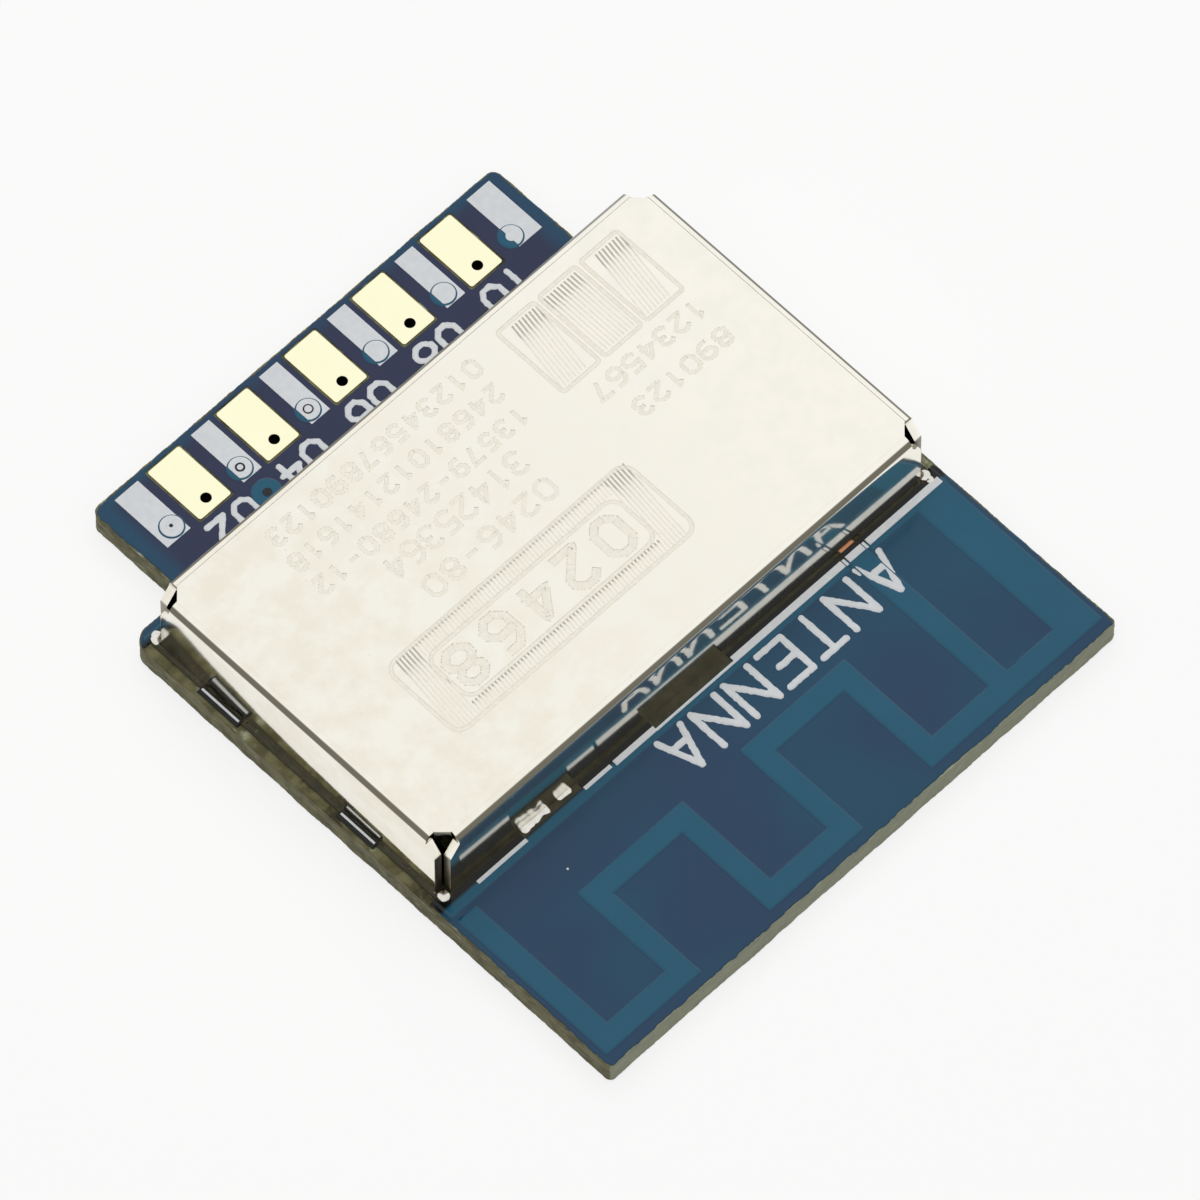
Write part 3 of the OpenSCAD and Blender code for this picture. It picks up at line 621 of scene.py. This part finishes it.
GROOVE_OFFSETS = np.array([-1.25, -0.75, 0.0, 0.75, 1.25, 0.75, 0.0, -0.75])
GROOVE_HEIGHTS = np.array([-0.001, 0.0042, 0.0006, 0.0042, -0.001, -0.006, -0.006, -0.006])
RIDGE_OFFSETS = np.array([-0.028, 0.0, 0.028, 0.028, 0.0, -0.028])
RIDGE_HEIGHTS = np.array([-0.001, 0.0032, -0.001, -0.006, -0.006, -0.006])
PULSE = 0.035                           # distance between two pulses of the beam
DIGIT_LINE = 0.042                      # half the width of an engraved digit's line
WIDE_DIGIT_LINE = 0.085
FRAME_LINE = 0.04
PANEL = (-4.95, Y_EDGE + 6.98, 2.05, Y_EDGE + 9.17)
WINDOW = (PANEL[0] + 0.75, PANEL[1] + 0.42, PANEL[2] - 0.75, PANEL[3] - 0.42)
PLATE = (2.25, Y_EDGE + 11.25, 5.95, Y_EDGE + 13.25)
CELLS = 3
CELL_MARGIN = 0.08


def finely(path, step):
    """The same path with evenly spaced points between its corners."""
    return np.concatenate([np.linspace(a, b, max(int(math.dist(a, b) / step), 1), endpoint=False)
                           for a, b in zip(path, path[1:])] + [np.array(path[-1:])])


def grooves(paths, half_width):
    """Engraved strokes: a shallow groove between two low ridges, carried along each path; the
    ridges are notched by every other pulse of the beam."""
    shells = []
    for k, path in enumerate(paths):
        fine = finely(path, PULSE)
        pulse = 0.55 + 0.45 * np.cos(np.arange(len(fine)) * math.pi)
        pulse = pulse[:, None] * np.ones(8) + 0.25 * value_noise(fine[:, :1] + k, fine[:, 1:], 0.08, 61)
        lift = np.where(GROOVE_HEIGHTS > 0.001, GROOVE_HEIGHTS * pulse, GROOVE_HEIGHTS)
        shells.append(carried(fine, GROOVE_OFFSETS * half_width, lift + Z_LID))
    return shells


def hatching(x0, y0, x1, y1, pitch, lean, holes=()):
    """Fine parallel ridges across a rectangle, leaning by lean over its height, broken where they
    cross a hole (x0, y0, x1, y1)."""
    shells = []
    for k, x in enumerate(np.arange(x0 + pitch / 2, x1 - max(lean, 0), pitch)):
        t = np.linspace(0, 1, 30)
        px, py = x + lean * t, y0 + (y1 - y0) * t
        clear = np.ones(len(t), bool)
        for hx0, hy0, hx1, hy1 in holes:
            clear &= ~((px > hx0) & (px < hx1) & (py > hy0) & (py < hy1))
        for run in np.split(np.arange(len(t)), np.flatnonzero(np.diff(clear)) + 1):
            if clear[run[0]] and len(run) > 1:
                ends = run[[0, -1]]
                shells.append(carried(np.stack([px[ends], py[ends]], 1), RIDGE_OFFSETS,
                                      RIDGE_HEIGHTS + Z_LID))
    return shells


def number_row(text, x, y, width, height, pitch, half_width):
    """Engraved digits in a row that starts at x and reads towards -X."""
    return [shell for i, g in enumerate(text) if g != " "
            for shell in grooves(glyph_paths(g, x - pitch * i, y, width, height), half_width)]


def box_path(x0, y0, x1, y1, r):
    """A closed rectangle with round corners."""
    turn = np.linspace(0, math.pi / 2, 6)
    return np.concatenate([
        np.stack([cx + r * np.cos(turn + a), cy + r * np.sin(turn + a)], 1)
        for a, cx, cy in ((0, x1 - r, y1 - r), (math.pi / 2, x0 + r, y1 - r),
                          (math.pi, x0 + r, y0 + r), (1.5 * math.pi, x1 - r, y0 + r))])


# rows of plain numbers: text, start, distance from the antenna edge, width, height, pitch
NUMBER_ROWS = [("01234567890123", 1.5, 12.80, 0.28, 0.40, 0.44),
               ("24681012141618", 1.4, 12.05, 0.28, 0.40, 0.44),
               ("13579-24680-12", 1.4, 11.30, 0.28, 0.40, 0.44),
               ("31425364", 0.6, 10.48, 0.36, 0.52, 0.50),
               ("0246-80", 0.6, 9.62, 0.36, 0.48, 0.54),
               ("1234567", 5.85, 10.52, 0.32, 0.42, 0.46),
               ("890123", 5.8, 9.65, 0.32, 0.40, 0.47)]


def frame_line(bounds, r):
    """A closed engraved line round a box (x0, y0, x1, y1) with round corners."""
    return carried(box_path(*bounds, r), GROOVE_OFFSETS * FRAME_LINE, GROOVE_HEIGHTS + Z_LID, True)


def lid_numbers():
    """The rows of plain numbers on the lid."""
    shells = [shell for text, x, y, w, h, pitch in NUMBER_ROWS
              for shell in number_row(text, x, Y_EDGE + y, w, h, pitch, DIGIT_LINE)]
    make_piece("lid_numbers", *join_shells(shells), "can_sheet", finish=ENGRAVED)


def lid_panel():
    """A hatched panel with a plain window that holds large digits."""
    shells = hatching(*PANEL, 0.095, 0.25, holes=[WINDOW])
    shells += [frame_line(bounds, 0.3) for bounds in (PANEL, WINDOW)]
    shells += number_row("02468", WINDOW[2] - 0.35, WINDOW[1] + 0.22, 0.62, 0.9, 1.08,
                         WIDE_DIGIT_LINE)
    make_piece("lid_panel", *join_shells(shells), "can_sheet", finish=ENGRAVED)


def lid_cells():
    """Hatched cells side by side, every other one leaning."""
    shells = []
    width = (PLATE[2] - PLATE[0]) / CELLS
    for k in range(CELLS):
        x0 = PLATE[0] + k * width + CELL_MARGIN
        x1 = PLATE[0] + (k + 1) * width - CELL_MARGIN
        shells += hatching(x0, PLATE[1] + 0.1, x1, PLATE[3] - 0.1, 0.1, 0.3 * (1 - k % 2))
        shells.append(frame_line((x0, PLATE[1], x1, PLATE[3]), CELL_MARGIN))
    make_piece("lid_cells", *join_shells(shells), "can_sheet", finish=ENGRAVED)


# ---- Cut edge of the board ----

CORNER_R = 0.12                         # corners beside the antenna
SHOULDER_R = 0.4                        # corners of the shoulders and beside the tongue
TIP_R = 0.22                            # corners of the tongue's end
STRIP = (Y_CAN[0] + 0.10, Y_CAN[1])     # where the board is bare beside the can


def board_outline(step):
    """The board's closed T-shaped outline as evenly spaced points and their outward normals: right
    angles rounded by quarter arcs, then divided into equal steps by length."""
    half = [((X_SIDE, Y_EDGE), CORNER_R), ((X_SIDE, Y_SHOULDER), SHOULDER_R),
            ((X_TONGUE, Y_SHOULDER), SHOULDER_R), ((X_TONGUE, Y_TIP), TIP_R)]
    corners = half + [((-x, y), r) for (x, y), r in half[::-1]]
    at = np.array([c for c, _ in corners])
    radius = np.array([r for _, r in corners])[:, None]
    after = np.roll(at, -1, axis=0) - at
    after /= np.linalg.norm(after, axis=1)[:, None]
    before = np.roll(after, 1, axis=0)
    middle = at + radius * (after - before)
    turn = np.linspace(0, math.pi / 2, 16)[None, :, None]
    arcs = middle[:, None] + radius[:, None] * (before[:, None] * np.sin(turn)
                                                - after[:, None] * np.cos(turn))
    loop = arcs.reshape(-1, 2)
    loop = np.vstack([loop, loop[:1]])
    length = np.concatenate([[0], np.cumsum(np.linalg.norm(np.diff(loop, axis=0), axis=1))])
    s = np.linspace(0, length[-1], round(length[-1] / step), endpoint=False)
    points = np.stack([np.interp(s, length, loop[:, 0]), np.interp(s, length, loop[:, 1])], 1)
    way = np.roll(points, -1, axis=0) - np.roll(points, 1, axis=0)
    way /= np.linalg.norm(way, axis=1)[:, None]
    return points, np.stack([way[:, 1], -way[:, 0]], 1), s


def sections(points, normals, offsets, heights):
    """At every point of a path its own section: offsets along the normal, and heights."""
    flat = points[:, None] + normals[:, None] * offsets[..., None]
    return np.concatenate([flat, heights[..., None]], -1)


def wander(length, size, seed):
    """Smooth noise from -1 to 1 along a length."""
    return value_noise(length, 0 * length, size, seed)


def cut_edge():
    """The side of the laminate, cut by saw and router: a ring whose face is torn by noise in three sizes
    and whose lips wander up and down."""
    points, normals, length = board_outline(0.03)
    along, level = np.meshgrid(length, np.linspace(Z_TOP, Z_UNDER, 17), indexing="ij")
    torn = (0.006 * value_noise(along, level, 0.05, 11)
            + 0.009 * value_noise(along / 10, level, 0.025, 12)
            + 0.010 * value_noise(along, level / 3, 0.5, 13))
    lip = 0.008 * value_noise(along[:, :1], level[:, :1], 0.12, 14)
    inner, outer = np.full_like(lip, -0.07), np.full_like(lip, -0.03)
    offsets = np.concatenate([inner, outer, 0.012 + torn, outer, inner], axis=1)
    heights = np.concatenate([np.full_like(lip, Z_TOP - 0.02), Z_TOP + 0.004 + lip, level,
                              Z_UNDER - 0.002 + lip, np.full_like(lip, Z_UNDER + 0.02)], axis=1)
    ring = sections(points, normals, offsets, heights)
    make_piece("cut_edge", *grid_shell(ring, closed=True), "laminate")


def lacquer_rim():
    """The lacquer's own edge, which spills a varying way over the laminate's edge, in runs that
    leave out the bare strips beside the can."""
    points, normals, length = board_outline(0.04)
    spill = (0.022 + 0.020 * wander(length, 0.22, 21) + 0.012 * wander(length, 0.07, 22))
    spill = spill.clip(0.004, 0.055)[:, None]
    inner, outer = np.full_like(spill, -0.09), spill - 0.04
    offsets = np.concatenate([inner, np.full_like(spill, -0.052), spill * 0.6 - 0.04, outer, outer,
                              inner], axis=1)
    heights = np.broadcast_to([Z_LACQUER - 0.010, Z_LACQUER - 0.001, Z_LACQUER - 0.004,
                               Z_TOP + 0.012, Z_TOP - 0.005, Z_TOP - 0.005], offsets.shape)
    ring = sections(points, normals, offsets, heights)
    bare = ((np.abs(points[:, 0]) > X_SIDE - 0.2) & (points[:, 1] > STRIP[0])
            & (points[:, 1] < STRIP[1]))
    runs = np.split(np.arange(len(points)), np.flatnonzero(np.diff(bare)) + 1)
    shells = [grid_shell(ring[run]) for run in runs if not bare[run[0]]]
    make_piece("lacquer_rim", *join_shells(shells), "solder_mask")


def raised_outline(x, y, level, step):
    """Straight edges (x0, y0, x1, y1) where raised lacquer steps down to lower lacquer: the edges
    that only one upper triangle of the raised lacquer uses, with lower lacquer on the far side."""
    points = node_points("top_solder_mask")
    faces = node_triangles("top_solder_mask")
    faces = faces[np.all(np.abs(points[faces][:, :, 2] - Z_RAISED) < 0.002, axis=1)]
    _, same = np.unique(np.round(points, 4), axis=0, return_inverse=True)
    edges = faces[:, [[0, 1], [1, 2], [2, 0]]].reshape(-1, 2)
    third = faces[:, [2, 0, 1]].reshape(-1)
    key = np.sort(same.reshape(-1)[edges], axis=1) @ [len(points), 1]
    _, first, count = np.unique(key, return_index=True, return_counts=True)
    once = first[count == 1]
    a, b, c = points[edges[once, 0]], points[edges[once, 1]], points[third[once]]
    out = np.stack([(b - a)[:, 1], -(b - a)[:, 0]], 1)
    out /= np.linalg.norm(out, axis=1)[:, None]
    out *= -np.sign((out * (c - a)[:, :2]).sum(1))[:, None]
    probe = (a + b)[:, :2] / 2 + 0.02 * out
    i = np.clip(np.round((probe[:, 0] - x[0, 0]) / step).astype(int), 0, x.shape[1] - 1)
    j = np.clip(np.round((probe[:, 1] - y[0, 0]) / step).astype(int), 0, x.shape[0] - 1)
    return np.concatenate([a[:, :2], b[:, :2]], 1)[level[j, i] == 1]


def lacquer_slopes():
    """Where the lacquer runs down from the copper it flows out: a height field round the raised
    lacquer that falls along half a cosine wave over the width of the slope. It stops inside the
    can's walls, where nothing sees it."""
    step, width = 0.02, 0.08
    xs = np.arange(-X_SIDE, X_SIDE + step, step)
    ys = np.arange(Y_EDGE, Y_TIP + step, step)
    x, y = np.meshgrid(xs, ys)
    level = lacquer_level(x, y)
    away = stroke_distance(x, y, raised_outline(x, y, level, step), width + 2 * step)
    away = np.where(level == 2, -away, away)
    fall = 0.5 + 0.5 * np.cos(math.pi * np.clip(away / width, 0, 1))
    top = Z_LACQUER + (Z_RAISED - Z_LACQUER) * fall
    top -= 0.003 * ((away <= 0) | (away >= width))
    under_can = (np.abs(x) < X_CAN - 0.4) & (y > Y_CAN[0] + 0.4) & (y < Y_CAN[1] - 0.4)
    keep = (level > 0) & ~under_can & (away > -1.5 * step) & (away < width + 1.5 * step)
    bottom = np.full_like(top, Z_LACQUER - 0.006)
    height_film("lacquer_slopes", x, y, top, bottom, keep, "solder_mask")


# ---- Solder at the can's foot ----

def seam(start, end, out, width, height, z, seed):
    """A hollow-faced bead at the foot of a wall from start to end: its width and height wander
    with smooth noise along its length, and it falls away at both ends."""
    start, end, out = (np.asarray(v, float) for v in (start, end, out))
    count = max(int(np.linalg.norm(end - start) / 0.03), 8)
    t = np.linspace(0, 1, count)
    s = t * np.linalg.norm(end - start)
    fade = np.sqrt(np.clip(np.minimum(t, 1 - t) * 2 * s[-1] / 0.12, 0.04, 1))
    w = width * fade * (1 + 0.45 * wander(s, 0.16, seed) + 0.2 * wander(s, 0.05, seed + 1))
    h = height * fade * (1 + 0.5 * wander(s, 0.2, seed + 2) + 0.2 * wander(s, 0.06, seed + 3))
    o = np.stack([0 * w - 0.01, 0.22 * w, 0.55 * w, w, w, 0.55 * w, 0.22 * w, 0 * w - 0.01], 1)
    low = np.full_like(h, -0.015)
    v = np.stack([h, 0.52 * h, 0.24 * h, 0.03 * h, low, low, low, low], 1)
    flat = (start + t[:, None] * (end - start))[:, None] + out * o[..., None]
    return grid_shell(np.concatenate([flat, (z + v)[..., None]], -1))


def lumps(spots):
    """Uneven drops (x, y, z, radius, height): the upper half of a ball and a short stem below it."""
    turn = np.linspace(0, 2 * math.pi, 24, endpoint=False)
    tilt = np.linspace(0, math.pi / 2, 8)[:-1]
    shells = []
    for k, (x, y, z, r, h) in enumerate(spots):
        wob = 1 + 0.12 * value_noise(np.cos(turn) * 1.3 + k, np.sin(turn) * 1.3, 0.8, 31 + k)
        ring_r = np.concatenate([[1.0], np.cos(tilt), [0.08]])[:, None] * wob * r
        ring_z = np.concatenate([[-0.02], np.sin(tilt) * h, [h]])[:, None] + 0 * wob
        points = np.stack([x + ring_r * np.cos(turn), y + ring_r * np.sin(turn), z + ring_z], -1)
        shells.append(grid_shell(points))
    return shells


# from the can's front corner: start and end, wide seams and narrow tabs in turn
SIDE_SEAMS = [(0.05, 1.80), (1.90, 2.95), (3.05, 5.85), (5.95, 7.10), (7.2, 8.58)]
# from the left end of the front solder: start, end, width and height
FRONT_SEAMS = [(0.0, 0.85, 0.12, 0.10), (1.1, 1.5, 0.06, 0.05)]


def side_seams():
    """The thin seams along both sides of the can."""
    shells = [seam((side * X_CAN, Y_CAN[0] + a), (side * X_CAN, Y_CAN[0] + b), (side, 0),
                   0.025 if k % 2 else 0.06, 0.035, Z_LAND, 41 + 10 * k + side)
              for side in (-1, 1) for k, (a, b) in enumerate(SIDE_SEAMS)]
    seams = make_piece("side_seams", *join_shells(shells), "solder", finish=FLUX_AND_PAINTED_LIGHT)
    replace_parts(seams, "side_solder")


def front_seam():
    """The tack in front of the can."""
    x = box_mm("front_solder")[0][0]
    shells = [seam((x + a, Y_CAN[0]), (x + b, Y_CAN[0]), (0, -1), width, height, Z_LAND, 91 + k)
              for k, (a, b, width, height) in enumerate(FRONT_SEAMS)]
    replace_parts(make_piece("front_seam", *join_shells(shells), "solder"), "front_solder")


def corner_drops():
    """Solder drops at the can's corners, and two more on the lacquer beside them."""
    drops = [(side * (X_CAN - 0.06), y, Z_LAND, 0.15, 0.11) for side in (-1, 1)
             for y in (Y_CAN[0] + 0.04, Y_CAN[1] - 0.04)]
    drops += [(X_CAN - 0.05, Y_CAN[0] - 0.10, Z_RAISED, 0.09, 0.05),
              (-X_CAN + 0.10, Y_CAN[1] + 0.02, Z_RAISED, 0.13, 0.06)]
    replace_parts(make_piece("corner_drops", *join_shells(lumps(drops)), "solder"), "corner_solder")


# ---- Marks of the plated holes under the print ----

Z_INK = Z_RAISED + INK_THICK
BUMP_HIGH = 0.016
HOLE_INSET = 0.3                        # from a rear contact's inner end to its hole
WIRE_OFFSETS = np.array([-0.02, 0.0, 0.02, 0.02, 0.0, -0.02])
WIRE_HEIGHTS = np.array([0.0, 0.005, 0.0, -0.006, -0.006, -0.006])


def circle_path(x, y, r):
    """A circle as a closed path."""
    turn = np.linspace(0, 2 * math.pi, 28, endpoint=False)
    return np.stack([x + r * np.cos(turn), y + r * np.sin(turn)], 1)


def rear_holes():
    """Places of the plated holes of the rear contacts."""
    boxes = [box_mm("rear_contact_%d" % k) for k in range(1, 7)]
    return [((low[0] + high[0]) / 2, low[1] + HOLE_INSET) for low, high in boxes]


def ink_bumps():
    """Shallow bumps of the white blocks over the plated holes."""
    bumps = [(x, y, Z_INK, 0.13, BUMP_HIGH) for x, y in rear_holes()]
    make_piece("ink_bumps", *join_shells(lumps(bumps)), "white_ink")


def hole_shade_marks():
    """Dark marks over the holes that paint the shade of their mouths: a dot on the first block and on
    the tented hole, and a ring on each of the next two blocks."""
    holes = rear_holes()
    low, high = box_mm("tented_hole")
    tented = (low + high) / 2
    shells = lumps([(holes[0][0] - 0.01, holes[0][1] + 0.01, Z_INK + BUMP_HIGH - 0.002, 0.045, 0.006),
                    (tented[0], tented[1], Z_RAISED, 0.11, 0.004)])
    for k, r, width in ((1, 0.085, 1.3), (2, 0.10, 0.8)):
        shells.append(carried(circle_path(*holes[k], r), WIRE_OFFSETS * width,
                              WIRE_HEIGHTS + Z_INK + BUMP_HIGH - 0.004, True))
    make_piece("hole_shade_marks", *join_shells(shells), "solder_mask", finish=DARK)


def specks():
    """Small white specks left on the lacquer."""
    spots = [(-4.81, Y_EDGE + 3.92, Z_LACQUER, 0.028, 0.012),
             (-2.5, Y_EDGE + 2.88, Z_LACQUER, 0.02, 0.01),
             (-X_CAN + 0.01, Y_EDGE + 4.97, Z_LACQUER, 0.045, 0.03)]
    make_piece("specks", *join_shells(lumps(spots)), "white_ink")


antenna_word()
contact_numbers()
can_shell()
lid_numbers()
lid_panel()
lid_cells()
cut_edge()
lacquer_rim()
lacquer_slopes()
side_seams()
front_seam()
corner_drops()
ink_bumps()
hole_shade_marks()
specks()


# ---- Stage, light and camera ----

def seen_directly(nodes):
    """1 for a ray from the camera, a mirror or glass, so that metal shows the same background."""
    path = nodes.add("ShaderNodeLightPath").outputs
    reflected = nodes.math("MAXIMUM", path["Is Camera Ray"], path["Is Glossy Ray"])
    return nodes.math("MAXIMUM", reflected, path["Is Transmission Ray"])


def pale_floor():
    """A large pale floor that keeps the module's shadow; away from it the floor lights less."""
    half = 2.0
    mesh = bpy.data.meshes.new("floor")
    mesh.from_pydata([(-half, -half, 0), (half, -half, 0), (half, half, 0), (-half, half, 0)], [],
                     [(0, 1, 2, 3)])
    floor = bpy.data.objects.new("floor", mesh)
    bpy.context.scene.collection.objects.link(floor)
    material = bpy.data.materials.new("pale_floor")
    material.use_nodes = True
    nodes = Nodes(material.node_tree)
    nodes.tree.nodes.clear()
    seen = seen_directly(nodes)
    away = nodes.add("ShaderNodeVectorMath")
    away.operation = "LENGTH"
    nodes.feed(away.inputs[0], nodes.add("ShaderNodeTexCoord").outputs["Object"])
    fade = nodes.math("MULTIPLY", nodes.step(away.outputs["Value"], 0.012, 0.030),
                      nodes.math("SUBTRACT", 1.0, seen))
    shade = nodes.mix(fade, rgb(0.95, 0.95, 0.95), rgb(0.22, 0.21, 0.19))
    pale = nodes.add("ShaderNodeBsdfDiffuse", Color=shade)
    glow = nodes.add("ShaderNodeEmission", Color=rgb(1, 1, 1), Strength=1.05)
    mixed = nodes.add("ShaderNodeMixShader")
    nodes.feed(mixed.inputs[0], nodes.math("MULTIPLY", seen, 0.75))
    nodes.feed(mixed.inputs[1], pale.outputs[0])
    nodes.feed(mixed.inputs[2], glow.outputs[0])
    nodes.add("ShaderNodeOutputMaterial", Surface=mixed.outputs[0])
    mesh.materials.append(material)


def overcast_world():
    """An overcast sky that lights from above; it is white to the camera and in the metal."""
    world = bpy.data.worlds.new("overcast")
    world.use_nodes = True
    bpy.context.scene.world = world
    nodes = Nodes(world.node_tree)
    nodes.tree.nodes.clear()
    towards = nodes.add("ShaderNodeTexCoord").outputs["Generated"]
    rise = nodes.add("ShaderNodeSeparateXYZ", Vector=towards).outputs["Z"]
    ramp = nodes.add("ShaderNodeValToRGB")
    nodes.feed(ramp.inputs[0], rise)
    ramp.color_ramp.interpolation = "EASE"
    for element, position, tone in zip(ramp.color_ramp.elements, (0.50, 0.82),
                                       (rgb(0.13, 0.125, 0.105), rgb(1, 1, 1))):
        element.position = position
        element.color = tone
    sky = nodes.mix(seen_directly(nodes), ramp.outputs[0], rgb(1, 1, 1))
    back = nodes.add("ShaderNodeBackground", Color=sky)
    nodes.add("ShaderNodeOutputWorld", Surface=back.outputs[0])


def soft_lamp(name, towards, distance, size, power):
    """A square soft lamp that looks at the module from a direction and isn't mirrored by it."""
    lamp = bpy.data.lights.new(name, "AREA")
    lamp.size = size
    lamp.energy = power
    placed = bpy.data.objects.new(name, lamp)
    away = Vector(towards).normalized()
    placed.location = away * distance
    placed.rotation_mode = "QUATERNION"
    placed.rotation_quaternion = away.to_track_quat("Z", "Y")
    placed.visible_glossy = False
    bpy.context.scene.collection.objects.link(placed)


pale_floor()
overcast_world()
soft_lamp("back_light", towards=(0.5, 0.6, 0.75), distance=0.30, size=0.20, power=0.10)

AZIMUTH = math.radians(-44.75)
ELEVATION = math.radians(61.15)
AIM = Vector((0.153, -0.527, Z_LACQUER)) * MM
CAMERA_AWAY = 0.3613
camera = bpy.data.cameras.new("camera")
camera.sensor_width = 36.0
camera.lens = 517.7
camera.clip_start = 0.01
camera.clip_end = 10.0
viewer = bpy.data.objects.new("camera", camera)
back = Vector((math.sin(AZIMUTH) * math.cos(ELEVATION), -math.cos(AZIMUTH) * math.cos(ELEVATION),
               math.sin(ELEVATION)))
viewer.location = AIM + back * CAMERA_AWAY
viewer.rotation_mode = "QUATERNION"
viewer.rotation_quaternion = (-back).to_track_quat("-Z", "Y")
bpy.context.scene.collection.objects.link(viewer)
bpy.context.scene.camera = viewer
bpy.context.scene.view_settings.view_transform = "Standard"
